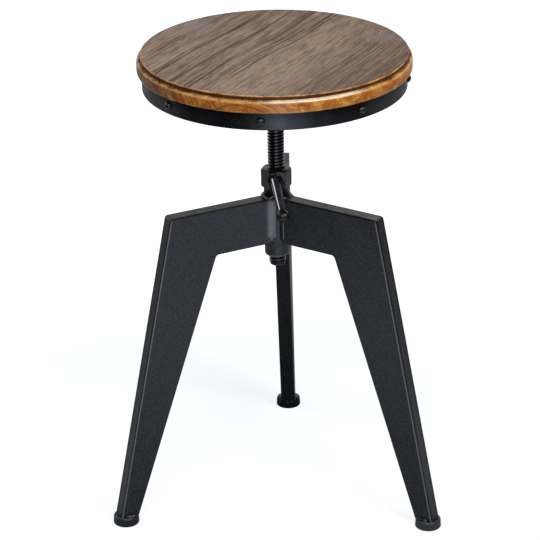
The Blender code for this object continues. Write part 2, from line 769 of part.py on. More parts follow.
def lever_frame():
    """Root, direction and two square directions of the lever, with the nut's flat towards +X."""
    drop, skew = math.radians(LEVER_DROP), math.radians(LEVER_SKEW)
    root = Vector((NUT_ACROSS_FLATS / 2, LEVER_OFFSET, NUT_BOTTOM + LEVER_ROOT_RISE))
    level = Vector((math.cos(skew), math.sin(skew), 0.0))
    along = level * math.cos(drop) - Vector((0.0, 0.0, math.sin(drop)))
    across = Vector((-level.y, level.x, 0.0))
    return root, along, across, along.cross(across)


def ball_flat():
    """Distance from the ball's centre to the flat where the lever enters."""
    return math.sqrt((BALL_DIAMETER / 2) ** 2 - (BALL_FLAT_DIAMETER / 2) ** 2)


def lever_shape(sides=16):
    """Tapering round lever whose upper end is cut parallel to the nut's flat."""
    root, along, across, square = lever_frame()
    shoulder = LEVER_LENGTH - ball_flat() - SEATING_GAP
    cut, plain, step, tip = [], [], [], []
    for i in range(sides):
        angle = math.tau * i / sides
        way = across * math.cos(angle) + square * math.sin(angle)
        out = way * LEVER_ROOT_DIAMETER / 2
        thin = way * SPIGOT_DIAMETER / 2
        cut.append(root + out + along * ((SEATING_GAP - out.x) / along.x))
        plain.append(root + way * LEVER_TIP_DIAMETER / 2 + along * shoulder)
        step.append(root + thin + along * shoulder)
        tip.append(root + thin + along * (shoulder + SPIGOT_LENGTH))
    return loft([cut, plain, step, tip])


def lever_weld_shape(sides=16):
    """Fillet weld all round the lever's root, on the nut's flat."""
    root, along, across, square = lever_frame()
    rings = []
    for i in range(sides):
        angle = math.tau * i / sides
        out = (across * math.cos(angle) + square * math.sin(angle)) * (LEVER_ROOT_DIAMETER / 2 + SEATING_GAP)
        foot = root + out + along * ((SEATING_GAP - out.x) / along.x)
        spread = Vector((0.0, foot.y - root.y, foot.z - root.z)).normalized() * LEVER_WELD_SIZE
        rings.append([foot, foot + spread, foot + along * LEVER_WELD_SIZE])
    return loft(rings, closed=True)


def ball_shape():
    """Ball with a flat and a blind hole for the lever's spigot, which enters along Z from above."""
    radius, flat = BALL_DIAMETER / 2, ball_flat()
    hole = SPIGOT_DIAMETER / 2 + SEATING_GAP
    bottom = flat + SEATING_GAP - SPIGOT_LENGTH - 2 * SEATING_GAP
    rim = math.degrees(math.atan2(flat, BALL_FLAT_DIAMETER / 2))
    profile = [(0.0, -radius)] + arc((0.0, 0.0), radius, -90, rim, 8)[1:]
    profile += [(hole, flat), (hole, bottom), (0.0, bottom)]
    return turned(profile, 16)


def build_frame(stool):
    """Fixed stand: hub, legs, feet and their welds."""
    add_piece("hub_tube", hub_shape(), "leg_black", stool)
    bush = add_piece("hub_bush_lower", bush_shape(), "bush_steel", stool, (0, 0, HUB_BOTTOM + BUSH_RECESS))
    place = (0, 0, HUB_TOP - BUSH_RECESS - BUSH_LENGTH)
    add_piece("hub_bush_upper", bush.data, "bush_steel", stool, place)
    shared = {}
    for side, angle in LEG_ANGLES.items():
        turn = (0.0, 0.0, math.radians(angle))
        foot = polar(FOOT_CIRCLE_RADIUS, turn[2])
        pieces = {
            "leg": (leg_shape, "leg_black", (0, 0, 0)),
            "hub_weld": (hub_weld_shape, "weld_black", (0, 0, 0)),
            "foot_weld_a": (lambda: foot_weld_shape(1), "weld_black", (0, 0, 0)),
            "foot_weld_b": (lambda: foot_weld_shape(-1), "weld_black", (0, 0, 0)),
            "foot_disc": (foot_disc_shape, "leg_black", foot),
            "foot_cap": (foot_cap_shape, "foot_black", foot),
        }
        for kind, (make, finish, location) in pieces.items():
            mesh = shared.get(kind) or make()
            piece = add_piece(f"{kind}_{side}", mesh, finish, stool, location, turn)
            shared[kind] = piece.data


def build_lock(stool):
    """Lock nut with its lever, on the spindle's axis."""
    axis = add_axis("lock_axis", stool, turn=LEVER_TURN - 90)
    add_piece("lock_nut", nut_shape(), "nut_black", axis)
    add_piece("lock_lever", lever_shape(), "thread_black", axis)
    add_piece("lever_weld", lever_weld_shape(), "weld_black", axis)
    root, along, _, _ = lever_frame()
    tilt = (0.0, -math.radians(90 - LEVER_DROP), math.radians(LEVER_SKEW))
    add_piece("lock_ball", ball_shape(), "nut_black", axis, root + along * LEVER_LENGTH, tilt)


def build_seat(stool):
    """Turning and rising seat: board, band, cross and spindle."""
    axis = add_axis("seat_axis", stool, turn=SEAT_TURN)
    add_piece("seat_board", board_shape(), "stained_wood", axis, (0, 0, BOARD_BOTTOM))
    add_piece("seat_band", band_shape(), "band_black", axis, (0, 0, BAND_BOTTOM))
    mesh = rivet_shape()
    for i, angle in enumerate(rivet_angles()):
        place = polar(BAND_RADIUS, angle, BAND_BOTTOM + BAND_HEIGHT / 2)
        turn = (0.0, math.pi / 2, angle)
        mesh = add_piece(f"band_rivet_{i + 1}", mesh, "band_black", axis, place, turn).data
    add_piece("seat_cross", cross_shape(), "leg_black", axis, rotation=(0, 0, math.radians(CROSS_TURN)))
    mesh = seat_screw_shape()
    for i, angle in enumerate(screw_angles()):
        place = polar(SCREW_CIRCLE_DIAMETER / 2, angle, CROSS_BOTTOM)
        mesh = add_piece(f"seat_screw_{i + 1}", mesh, "zinc_steel", axis, place).data
    add_piece("spindle", spindle_shape(), "thread_black", axis)
    add_piece("spindle_weld", spindle_weld_shape(), "weld_black", axis)
    add_piece("stop_screw", stop_screw_shape(), "zinc_steel", axis)
    add_piece("stop_washer", stop_washer_shape(), "nut_black", stool)


def main():
    clear_scene()
    stool = add_axis("stool_axis", location=(0.0, AXIS_Y, 0.0))
    build_frame(stool)
    build_lock(stool)
    build_seat(stool)
    bpy.context.view_layer.update()


main()
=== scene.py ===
"""Dress a height adjustable stool: fine meshes, finishes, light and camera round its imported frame.

A round stained board with a riveted steel band stands on a coarse-threaded spindle. The spindle
screws through a hub with three bent box legs, and a hex lock nut with a ball-ended lever holds it.
Lengths are in metres and angles in degrees, +Z is up and the front is towards -Y.
"""

import logging
import math
from dataclasses import dataclass, replace
from enum import Enum
from functools import reduce, wraps
from typing import Callable, Sequence

import bmesh
import bpy
from mathutils import Euler, Matrix, Vector, noise


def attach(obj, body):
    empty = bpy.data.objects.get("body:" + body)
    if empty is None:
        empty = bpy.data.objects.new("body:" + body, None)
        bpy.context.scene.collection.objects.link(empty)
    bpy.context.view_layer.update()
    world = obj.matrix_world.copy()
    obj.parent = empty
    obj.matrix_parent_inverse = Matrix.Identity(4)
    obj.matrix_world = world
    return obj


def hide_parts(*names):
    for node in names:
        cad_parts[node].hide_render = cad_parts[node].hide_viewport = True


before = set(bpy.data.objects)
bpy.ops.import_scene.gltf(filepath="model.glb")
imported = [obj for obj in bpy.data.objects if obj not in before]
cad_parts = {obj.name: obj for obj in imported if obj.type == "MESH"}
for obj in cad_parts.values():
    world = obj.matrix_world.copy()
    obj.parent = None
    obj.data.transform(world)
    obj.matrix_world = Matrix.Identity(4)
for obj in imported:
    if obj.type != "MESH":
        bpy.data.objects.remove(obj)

log = logging.getLogger("stool")

Pair = tuple[float, float]
Spot = tuple[float, float, float]  # a place, or a spot of a profile: across, up and the wear there
Colour = tuple[float, float, float]
Shape = bmesh.types.BMesh
Node = bpy.types.Node
Tree = bpy.types.NodeTree
Inputs = dict[int | str, object]  # sockets by number or name, each with a value or a wire

# Vertex values that the finishes read
WEAR = "wear"  # how worn an edge is
FACE = "face"  # 1 on the board's stained top; on a weld, a painted reflection on its flat face and painted highlights at its narrow toes
SHADE_AND_DIRT = "shade_and_dirt"  # painted shade, and dull black dirt
RISER = "riser"  # 1 in the board's turned step

TINY = 1e-7  # lengths below this count as none
NO_FADE = 10.0  # longer than any side, so that a rounding gets no points beside it


class Body(Enum):
    """Bodies of the frame that a piece can ride on."""

    FRAME = "frame"
    LOCK = "lock"
    END_STOP = "end_stop"
    SEAT = "seat"


class Slot(Enum):
    """Material slots of the record."""

    WOOD = "stained_wood"
    BAND = "band_black"
    RIVET = "rivet_black"
    LEG = "leg_black"
    THREAD = "thread_black"
    NUT = "nut_black"
    LEVER = "lever_black"
    WELD = "weld_black"
    FOOT = "foot_black"
    BUSH = "bush_steel"
    ZINC = "zinc_steel"


class Leg(Enum):
    """The three legs, by their angle round the hub."""

    REAR = 90.0
    LEFT = 210.0
    RIGHT = 330.0


class Cut(Enum):
    """Ways to combine two shapes."""

    AWAY = "DIFFERENCE"
    COMMON = "INTERSECT"


@dataclass(frozen=True)
class Layout:
    """Levels and radii that more than one sub-assembly needs."""

    axis_y: float = -0.033575
    gap: float = 0.0003
    seat_radius: float = 0.1600
    board_bottom: float = 0.5475
    seat_turn: float = -3.0
    band_radius: float = 0.1544
    band_inner: float = 0.1514
    band_bottom: float = 0.5266
    band_top: float = 0.5472
    cross_bottom: float = 0.5422
    cross_top: float = 0.5472
    spindle_radius: float = 0.0100
    spindle_bottom: float = 0.3013
    bore_radius: float = 0.0104
    hub_radius: float = 0.0150
    hub_inner: float = 0.0123
    hub_top: float = 0.3983
    hub_bottom: float = 0.3119
    arm_top: float = 0.3870
    arm_bottom: float = 0.3301
    leg_side: float = 0.00895

    def axis(self, turn: float = 0.0) -> Matrix:
        """Place of the stool's upright axis, turned by some degrees."""
        return Matrix.Translation((0.0, self.axis_y, 0.0)) @ Matrix.Rotation(math.radians(turn), 4, "Z")

    def seat_axis(self, turn: float = 0.0) -> Matrix:
        """Place of the axis as the seat stands on its thread, turned by some degrees more."""
        return self.axis(self.seat_turn + turn)


def linear(*display: float) -> Colour:
    """Red, green and blue of a display colour, 0 to 255, as linear light."""
    shares = [value / 255 for value in display]
    return tuple(share / 12.92 if share <= 0.04045 else ((share + 0.055) / 1.055) ** 2.4 for share in shares)


def polar(radius: float, angle: float, height: float = 0.0) -> Vector:
    """Point at an angle in radians round the upright axis."""
    return Vector((radius * math.cos(angle), radius * math.sin(angle), height))


def turns(count: int) -> list[float]:
    """Angles in radians that part a full turn evenly."""
    return [math.tau * i / count for i in range(count)]


def smooth(low: float, high: float, value: float) -> float:
    """Soft step from 0 at low to 1 at high."""
    share = max(0.0, min(1.0, (value - low) / (high - low)))
    return share * share * (3 - 2 * share)


def softened(
    corners: Sequence[Spot], closed: bool = False, steps: int = 4, fade: float = 0.0008,
) -> list[Spot]:
    """Round the corners of a profile and mark its edges for wear.

    Args:
        corners: (across, up, radius) of each corner in order; radius 0 keeps it sharp.
        closed: whether the last corner joins the first.
        steps: steps of each rounding.
        fade: distance from a rounding at which its wear has gone.

    Returns:
        (across, up, wear) spots in the same order.
    """
    spots: list[Spot] = []
    count = len(corners)
    for i, (across, up, radius) in enumerate(corners):
        here = Vector((across, up))
        if radius <= 0 or (not closed and i in (0, count - 1)):
            spots.append((across, up, 0.0))
            continue
        before, after = corners[i - 1], corners[(i + 1) % count]
        back, ahead = Vector(before[:2]) - here, Vector(after[:2]) - here
        half = back.angle(ahead) / 2
        reach = radius / math.tan(half)
        centre = here + (back.normalized() + ahead.normalized()).normalized() * radius / math.sin(half)
        first = here + back.normalized() * reach - centre
        sweep = first.angle_signed(here + ahead.normalized() * reach - centre)
        if back.length > reach + before[2] + 2 * fade:
            spots.append((*(here + back.normalized() * (reach + fade)), 0.0))
        for step in range(steps + 1):
            turn = -sweep * step / steps
            cos, sin = math.cos(turn), math.sin(turn)
            worn = 1.0 if 0 < step < steps else 0.6
            out = (centre.x + first.x * cos - first.y * sin, centre.y + first.x * sin + first.y * cos)
            spots.append((*out, worn))
        if ahead.length > reach + after[2] + 2 * fade:
            spots.append((*(here + ahead.normalized() * (reach + fade)), 0.0))
    return spots


def new_shape() -> Shape:
    """Empty shape with a wear value on its points."""
    shape = bmesh.new()
    shape.verts.layers.float.new(WEAR)
    return shape


def sew(shape: Shape, one: Sequence, other: Sequence) -> None:
    """Join two rings of as many points by faces; a point may stand for several."""
    for i in range(len(one)):
        j = (i + 1) % len(one)
        corners = list(dict.fromkeys((one[i], one[j], other[j], other[i])))
        if len(corners) > 2:
            shape.faces.new(corners)


def revolve(profile: Sequence[Spot], segments: int) -> Shape:
    """Turn a profile about the upright axis.

    Args:
        profile: (radius, height, wear) spots; ends off the axis are joined to each other.
        segments: steps of a full turn.

    Returns:
        The turned shape.
    """
    shape = new_shape()
    layer = shape.verts.layers.float[WEAR]
    rings = []
    for radius, height, worn in profile:
        angles = turns(segments) if radius > TINY else [0.0]
        ring = [shape.verts.new(polar(radius, angle, height)) for angle in angles]
        for vert in ring:
            vert[layer] = worn
        rings.append(ring * (segments // len(ring)))
    for one, other in zip(rings, rings[1:]):
        sew(shape, one, other)
    if profile[0][0] > TINY and profile[-1][0] > TINY:
        sew(shape, rings[-1], rings[0])
    return shape


def loft(
    rings: Sequence[Sequence[Vector]], worn: Sequence[float] | None = None, closed: bool = False,
) -> Shape:
    """Skin over rings of points.

    Args:
        rings: rings with the same number of points.
        worn: wear of each ring.
        closed: whether the last ring joins the first, instead of both being capped.

    Returns:
        The skinned shape.
    """
    shape = new_shape()
    layer = shape.verts.layers.float[WEAR]
    loops = [[shape.verts.new(point) for point in ring] for ring in rings]
    for loop, value in zip(loops, worn or [0.0] * len(loops)):
        for vert in loop:
            vert[layer] = value
    for one, other in zip(loops, loops[1:]):
        sew(shape, one, other)
    if closed:
        sew(shape, loops[-1], loops[0])
    else:
        shape.faces.new(loops[0])
        shape.faces.new(loops[-1])
    return shape


def moved(shape: Shape, matrix: Matrix) -> Shape:
    """The same shape in another place."""
    bmesh.ops.transform(shape, matrix=matrix, verts=shape.verts)
    return shape


def marked(shape: Shape, name: str, share: Callable[[Vector], float]) -> Shape:
    """Give the points of a shape a value.

    Args:
        shape: the shape to mark.
        name: name of the vertex value.
        share: value of a point from its place.

    Returns:
        The same shape.
    """
    layer = shape.verts.layers.float.new(name)
    for vert in shape.verts:
        vert[layer] = share(vert.co)
    return shape


def drill(radius: float, reach: float, segments: int, place: Matrix) -> Shape:
    """Round cutter that reaches as far to both sides of its place, along its own Z."""
    ends = ((0.0, -reach), (radius, -reach), (radius, reach), (0.0, reach))
    return moved(revolve([(*end, 0.0) for end in ends], segments), place)


def plus(arm: float, half: float, turn: float = 0.0) -> list[Vector]:
    """Outline of a plus sign with arms as long and half as wide as given, turned by some radians."""
    outline = []
    for quarter in range(4):
        turned = Matrix.Rotation(math.pi / 2 * quarter + turn, 2)
        outline += [turned @ Vector(point) for point in ((arm, -half), (arm, half), (half, half))]
    return outline


def recess(span: float, width: float, low: float, depth: float, turn: float) -> Shape:
    """Cutter for the cross recess of a screw head that looks down.

    Args:
        span: length of each slot.
        width: width of each slot.
        low: level of the head's face.
        depth: depth of the recess.
        turn: angle of the recess in degrees.

    Returns:
        The cutter.
    """
    outline = plus(span / 2, width / 2, math.radians(turn))
    levels = ((low - depth, 1.0), (low + depth, 0.55))
    return loft([[Vector((*(point * share), level)) for point in outline] for level, share in levels])


def mesh_of(shape: Shape, name: str) -> bpy.types.Mesh:
    """Mesh of a shape, with its faces turned outwards."""
    bmesh.ops.recalc_face_normals(shape, faces=shape.faces)
    mesh = bpy.data.meshes.new(name)
    shape.to_mesh(mesh)
    shape.free()
    return mesh


def combined(shape: Shape, others: Sequence[Shape], cut: Cut = Cut.AWAY) -> Shape:
    """Cut a shape with others that don't touch each other.

    Args:
        shape: the shape that is cut.
        others: the cutters.
        cut: what is kept.

    Returns:
        The cut shape.
    """
    tools = bmesh.new()
    for other in others:
        mesh = mesh_of(other, "cutter")
        tools.from_mesh(mesh)
        bpy.data.meshes.remove(mesh)
    base = bpy.data.objects.new("base", mesh_of(shape, "base"))
    tool = bpy.data.objects.new("tool", mesh_of(tools, "tool"))
    for item in (base, tool):
        bpy.context.scene.collection.objects.link(item)
    modifier = base.modifiers.new("cut", "BOOLEAN")
    modifier.operation = cut.value
    modifier.solver = "EXACT"
    modifier.object = tool
    result = bmesh.new()
    result.from_object(base, bpy.context.evaluated_depsgraph_get())
    for item in (base, tool):
        mesh = item.data
        bpy.data.objects.remove(item)
        bpy.data.meshes.remove(mesh)
    bmesh.ops.remove_doubles(result, verts=result.verts, dist=TINY)
    return result


@dataclass(frozen=True)
class Wire:
    """What flows out of a node, with the sums that can be made of it."""

    graph: "Graph"
    socket: bpy.types.NodeSocket

    def __add__(self, other: "Wire | float") -> "Wire":
        """Sum of two values."""
        return self.graph.math("ADD", self, other)

    def __sub__(self, other: "Wire | float") -> "Wire":
        """Difference of two values."""
        return self.graph.math("SUBTRACT", self, other)

    def __rsub__(self, other: float) -> "Wire":
        """Difference of a number and this value."""
        return self.graph.math("SUBTRACT", other, self)

    def __mul__(self, other: "Wire | float") -> "Wire":
        """Product of two values."""
        return self.graph.math("MULTIPLY", self, other)

    def __truediv__(self, other: "Wire | float") -> "Wire":
        """Quotient of two values."""
        return self.graph.math("DIVIDE", self, other)

    def __abs__(self) -> "Wire":
        """Value without its sign."""
        return self.graph.math("ABSOLUTE", self)

    def most(self, other: "Wire | float") -> "Wire":
        """Larger of two values."""
        return self.graph.math("MAXIMUM", self, other)

    def root(self) -> "Wire":
        """Square root."""
        return self.graph.math("SQRT", self)

    def step(self, low: float, high: float, start: float = 0.0, end: float = 1.0) -> "Wire":
        """Soft step from start, where the value is low, to end, where it is high."""
        names = ("Value", "From Min", "From Max", "To Min", "To Max")
        inputs = dict(zip(names, (self, low, high, start, end)))
        return self.graph.add("MapRange", inputs, interpolation_type="SMOOTHSTEP")

    def split(self) -> list["Wire"]:
        """The three parts of a vector."""
        return list(self.graph.outputs("SeparateXYZ", {0: self}).values())

    def scaled(self, *scale: float) -> "Wire":
        """Vector with each axis scaled on its own."""
        return self.graph.add("VectorMath", {0: self, 1: scale}, operation="MULTIPLY")

    def noise(self, scale: float = 1.0, detail: float = 2.0, rough: float = 0.5) -> "Wire":
        """Cloudy value from 0 to 1 over a vector."""
        inputs = {"Vector": self, "Scale": scale, "Detail": detail, "Roughness": rough}
        return self.graph.add("TexNoise", inputs)

    def under(self, *layers: tuple["Wire", Colour]) -> "Wire":
        """Colour with others laid over it, each with its mask."""
        return reduce(lambda colour, layer: self.graph.mix(layer[0], colour, layer[1]), layers, self)

    def relief(self, depth: float, strength: float) -> "Wire":
        """Normal of a fine relief that is depth metres high."""
        return self.graph.add("Bump", {"Height": self, "Distance": depth, "Strength": strength})


@dataclass(frozen=True)
class Graph:
    """Short-hand for adding and joining nodes in one tree."""

    tree: Tree

    def feed(self, node: Node, inputs: Inputs) -> None:
        """Set a node's sockets, by name or number, to values or to the wires that feed them."""
        for key, value in inputs.items():
            socket = node.inputs[key]
            if isinstance(value, Wire):
                self.tree.links.new(value.socket, socket)
            else:
                socket.default_value = (*value, 1.0) if socket.type == "RGBA" else value

    def node(self, kind: str, inputs: Inputs | None = None, **settings: object) -> Node:
        """Add a node.

        Args:
            kind: its type, without the ShaderNode at the front.
            inputs: its sockets by name or number, each with a value or a wire.
            settings: its other properties.

        Returns:
            The new node.
        """
        node = self.tree.nodes.new(kind if kind.startswith("Node") else "ShaderNode" + kind)
        for key, value in settings.items():
            setattr(node, key, value)
        self.feed(node, inputs or {})
        return node

    def add(
        self, kind: str, inputs: Inputs | None = None, output: int | str = 0, **settings: object,
    ) -> Wire:
        """Add a node and take one of its outputs, by number or name."""
        return Wire(self, self.node(kind, inputs, **settings).outputs[output])

    def outputs(self, kind: str, inputs: Inputs | None = None, **settings: object) -> dict[str, Wire]:
        """Add a node and take all its outputs by name."""
        node = self.node(kind, inputs, **settings)
        return {socket.name: Wire(self, socket) for socket in node.outputs}

    def math(self, operation: str, *values: Wire | float) -> Wire:
        """Result of a sum."""
        return self.add("Math", dict(enumerate(values)), operation=operation)

    def mix(self, share: Wire, one: Wire | Colour, other: Wire | Colour) -> Wire:
        """Mix two colours by a share."""
        return self.add("Mix", {0: share, 6: one, 7: other}, 2, data_type="RGBA")

    def value(self, name: str) -> Wire:
        """Vertex value by name."""
        return self.add("Attribute", output="Fac", attribute_name=name)

    def place(self) -> Wire:
        """Place on the piece, in metres."""
        return self.add("TexCoord", output="Object")


def shader_group(**kinds: str) -> Callable:
    """Turn a function that adds nodes into one that uses them as a shader node group, built once.

    Args:
        kinds: kind of each input by name, Vector or Float.

    Returns:
        The decorator. Its function takes a graph and a wire for each input, and returns the outputs.
    """

    def wrap(fill: Callable[..., dict[str, Wire]]) -> Callable[..., dict[str, Wire]]:
        """Function that adds the group to a graph."""

        def built() -> Tree:
            """New tree of the group."""
            tree = bpy.data.node_groups.new(fill.__name__, "ShaderNodeTree")
            for label, kind in kinds.items():
                tree.interface.new_socket(label, in_out="INPUT", socket_type="NodeSocket" + kind)
            graph = Graph(tree)
            source = graph.outputs("NodeGroupInput")
            results = fill(graph, *(source[label] for label in kinds))
            for label in results:
                tree.interface.new_socket(label, in_out="OUTPUT", socket_type="NodeSocketFloat")
            graph.node("NodeGroupOutput", results)
            return tree

        @wraps(fill)
        def use(graph: Graph, **inputs: object) -> dict[str, Wire]:
            """Add the group and take all its outputs by name."""
            tree = bpy.data.node_groups.get(fill.__name__) or built()
            return graph.outputs("Group", inputs, node_tree=tree)

        return use

    return wrap


@shader_group(Vector="Vector", Scale="Float")
def coat_grain(graph: Graph, place: Wire, scale: Wire) -> dict[str, Wire]:
    """Skin of a coat: fine grain with its height, and broad uneven tone."""
    fine = place.noise(scale)
    cells = graph.add("TexVoronoi", {"Vector": place, "Scale": scale * 0.55})
    tone = place.noise(34.0, 4.0, 0.6).step(0.3, 0.7)
    return {"Grain": fine.step(0.35, 0.75), "Height": fine * 0.7 + cells * 0.3, "Tone": tone}


@shader_group(Vector="Vector", Edge="Float", Amount="Float")
def edge_wear(_: Graph, place: Wire, edge: Wire, amount: Wire) -> dict[str, Wire]:
    """Rubbed edges: the vertex wear, broken up by noise."""
    broken = place.noise(55.0, 3.0, 0.6) * 0.65 + place.noise(420.0, 3.0, 0.65) * 0.35
    return {"Mask": (broken + (amount - 0.5)).step(0.38, 0.62) * edge.step(0.25, 0.95)}


@shader_group(Vector="Vector", Amount="Float")
def settled_dust(graph: Graph, place: Wire, amount: Wire) -> dict[str, Wire]:
    """Thin film that settles on faces that look up."""
    up = graph.add("NewGeometry", output="Normal").split()[2]
    cloud = place.noise(90.0, 4.0, 0.7).step(0.3, 0.75)
    return {"Mask": up.step(0.55, 1.0) * cloud * amount}


@shader_group(Vector="Vector", Centre="Vector", Turn="Float", Length="Float", Width="Float")
def scratch(
    graph: Graph, place: Wire, centre: Wire, turn: Wire, length: Wire, width: Wire,
) -> dict[str, Wire]:
    """One ragged scratch: its middle, direction in radians, length and half width in metres."""
    away = graph.add("VectorMath", {0: place, 1: centre}, operation="SUBTRACT")
    turned = graph.add("VectorRotate", {"Vector": away, "Angle": turn}, rotation_type="Z_AXIS")
    along, across, _ = turned.split()
    bent = (away.noise(90.0, 1.0) - 0.5) * 0.0022
    line = (abs(across + bent) / width).step(1.0, 0.3) * (abs(along) / length).step(0.5, 0.32)
    return {"Mask": line * away.noise(330.0, 2.0, 0.6).step(0.36, 0.52)}


@shader_group(Vector="Vector")
def wood_grain(graph: Graph, place: Wire) -> dict[str, Wire]:
    """Board of two softwood planks: dark lines, rings of the edge, fibres, flecks and tone.

    The vector runs along the grain, across it and up through the board, in metres from its middle.
    The rings of one plank stand on edge, so it has stripes. The other plank lies flat over its heart:
    it is plain in the middle, has fine lines at its side, and arches in the board's edge.
    """
    thickness, tilt = 0.020, 0.55  # the board's, and how far the striped plank's rings lean
    heart_across, heart_depth, flatness = -0.036, -0.008, 1.8  # the flat plank's
    # Dark bands of the striped plank: place across the grain, half width and strength
    bands = (
        (0.1240, 0.0110, 0.42), (0.1080, 0.0034, 0.36), (0.0880, 0.0056, 0.60), (0.0780, 0.0020, 0.26),
        (0.0690, 0.0024, 0.52), (0.0565, 0.0068, 0.86), (0.0440, 0.0022, 0.32), (0.0320, 0.0066, 0.88),
        (0.0190, 0.0028, 0.68), (0.0125, 0.0020, 0.56), (0.0065, 0.0018, 0.56), (0.0010, 0.0018, 0.80),
    )
    along, across, up = place.split()

    def lines(ring: Wire, length: float, width: float, seed: float, low: float, high: float) -> Wire:
        """Dark lines that follow the rings: length and width are how many there are in a metre."""
        spot = graph.add("CombineXYZ", {0: along * length, 1: ring * width, 2: seed})
        return spot.noise().step(low, high)

    sway = (place.scaled(3.4, 11, 11).noise() - 0.5) * 0.007
    wander = sway + (place.scaled(13, 75, 75).noise() - 0.5) * 0.0030
    on_edge = across + (thickness - up) * tilt + wander + along.step(-0.055, 0.060, 0.0, 0.010)
    out, deep = (across - heart_across) / flatness, up - heart_depth
    flat = (out * out + deep * deep).root() + wander * 0.6
    left = on_edge.step(-0.0012, 0.0006)
    rest = 1.0 - left
    dark = reduce(Wire.most, [
        abs(on_edge - middle).step(half, half * 0.3, 0.0, strength) for middle, half, strength in bands
    ])
    dark = dark * (1.45 - lines(on_edge, 8.0, 44.0, 3.1, 0.36, 0.64))
    fine = lines(on_edge, 7.0, 500.0, 7.7, 0.46, 0.56)
    stripes = (dark * (fine * 0.85 + 0.32) + fine * 0.36) * left
    side_lines = lines(across, 5.0, 360.0, 5.5, 0.48, 0.58) * across.step(-0.078, -0.090)
    near = abs(out).step(0.034, 0.018, 0.25, 0.85) * rest
    arch = lines(flat, 2.0, 240.0, 9.1, 0.45, 0.58) * near
    blotch = place.scaled(11, 24, 24).noise(1.0, 4.0, 0.6).step(0.33, 0.67)
    zone = across.step(-0.098, -0.030, 0.0, 0.55) - along.step(0.0, 0.14, 0.0, 0.30)
    values = {
        "Line": stripes + (side_lines * 0.50 + fine * 0.10) * rest,
        "Ring": stripes * 1.25 + arch * 0.85,
        "Arch": lines(flat, 2.0, 330.0, 2.3, 0.54, 0.62) * near,
        "Heart": near,
        "Fibre": place.scaled(42, 380, 380).noise(1.0, 3.0, 0.7).step(0.34, 0.66),
        "Streak": place.scaled(6, 210, 210).noise(1.0, 3.0).step(0.3, 0.7),
        "Fleck": place.scaled(80, 520, 520).noise(1.0, 1.0).step(0.675, 0.74),
        "Blotch": blotch,
        "Tone": zone + blotch * 0.30,
    }
    return {name: graph.add("Clamp", {0: value}) for name, value in values.items()}


@dataclass(frozen=True)
class Finish:
    """A finish of the stool, with the slot of the record that it fills."""

    slot: Slot
    look: str  # name of its material

    def material(self) -> bpy.types.Material:
        """Material of this finish, made once."""
        material = bpy.data.materials.get(self.look)
        if material is None:
            material = bpy.data.materials.new(self.look)
            material.use_nodes = True
            self.fill(Graph(material.node_tree), material.node_tree.nodes["Principled BSDF"])
        return material

    def fill(self, graph: Graph, shader: Node) -> None:
        """Add the nodes of the finish; each kind of finish has its own."""
        raise NotImplementedError


@dataclass(frozen=True)
class BlackCoat(Finish):
    """Black coat on steel or plastic: a grain, uneven tone, rubbed edges, a little dust and dirt, and where
    the vertex values ask, painted shade, highlights and reflections.
    """

    colour: Colour
    pale: Colour  # where the coat's grain catches light
    # Colour of rubbed edges, which on the legs also paints their edge highlight
    wear_and_highlight: Colour = linear(104, 106, 110)
    settled: Colour = linear(150, 146, 140)  # dust, and on the right leg painted light
    # Colour of the painted shade and of dirt
    blackening: Colour = linear(7, 7, 7)
    flat_face: Colour | None = None  # painted reflection on a weld's flat face, and painted highlights at its narrow toes
    roughness: float = 0.40
    uneven: float = 0.10  # spread of the roughness
    grain: float = 900.0  # grains in a metre
    depth: float = 0.00005  # of the grain
    relief: float = 0.6  # strength of its shading
    grain_share: float = 0.78  # of the grain in the tone, beside broad clouds
    specular: float = 0.5
    metallic: float = 0.0
    wear: float = 0.20
    # Amount of dust; on the right leg raised to paint light on faces that look up
    dust_and_light: float = 0.01
    rubbed_share: float = 0.8
    rubbed_gloss: float = 0.08  # roughness that rubbing takes away
    dust_rough: float = 0.3  # roughness that dust adds

    def fill(self, graph: Graph, shader: Node) -> None:
        """Add the nodes of the coat."""
        place = graph.place()
        skin = coat_grain(graph, Vector=place, Scale=self.grain)
        rub = edge_wear(graph, Vector=place, Edge=graph.value(WEAR), Amount=self.wear)["Mask"]
        dust_and_light = settled_dust(graph, Vector=place, Amount=self.dust_and_light)["Mask"]
        # Painted shade, with dirt, broken up a little: it darkens and takes the gloss away
        shade_and_dirt = graph.value(SHADE_AND_DIRT) * place.noise(260.0, 3.0).step(0.35, 0.65, 0.75, 1.0)
        toned = skin["Grain"] * self.grain_share + skin["Tone"] * (1 - self.grain_share)
        layers = [(rub * self.rubbed_share, self.wear_and_highlight), (dust_and_light, self.settled), (shade_and_dirt, self.blackening)]
        # Painted reflection and highlights on the welds, where the face value is set
        if self.flat_face:
            layers.insert(0, (graph.value(FACE) * toned.step(0.0, 1.0, 0.5, 1.0), self.flat_face))
        half = self.uneven / 2
        rough = skin["Tone"].step(0.0, 1.0, self.roughness - half, self.roughness + half)
        graph.feed(shader, {
            "Base Color": graph.mix(toned, self.colour, self.pale).under(*layers),
            "Roughness": rough - rub * self.rubbed_gloss + dust_and_light * self.dust_rough,
            "Metallic": shade_and_dirt.most(self.metallic),  # black metal throws nothing back: painted shade and dirt have no gloss
            "Specular IOR Level": self.specular,
            "Normal": skin["Height"].relief(self.depth, self.relief),
        })


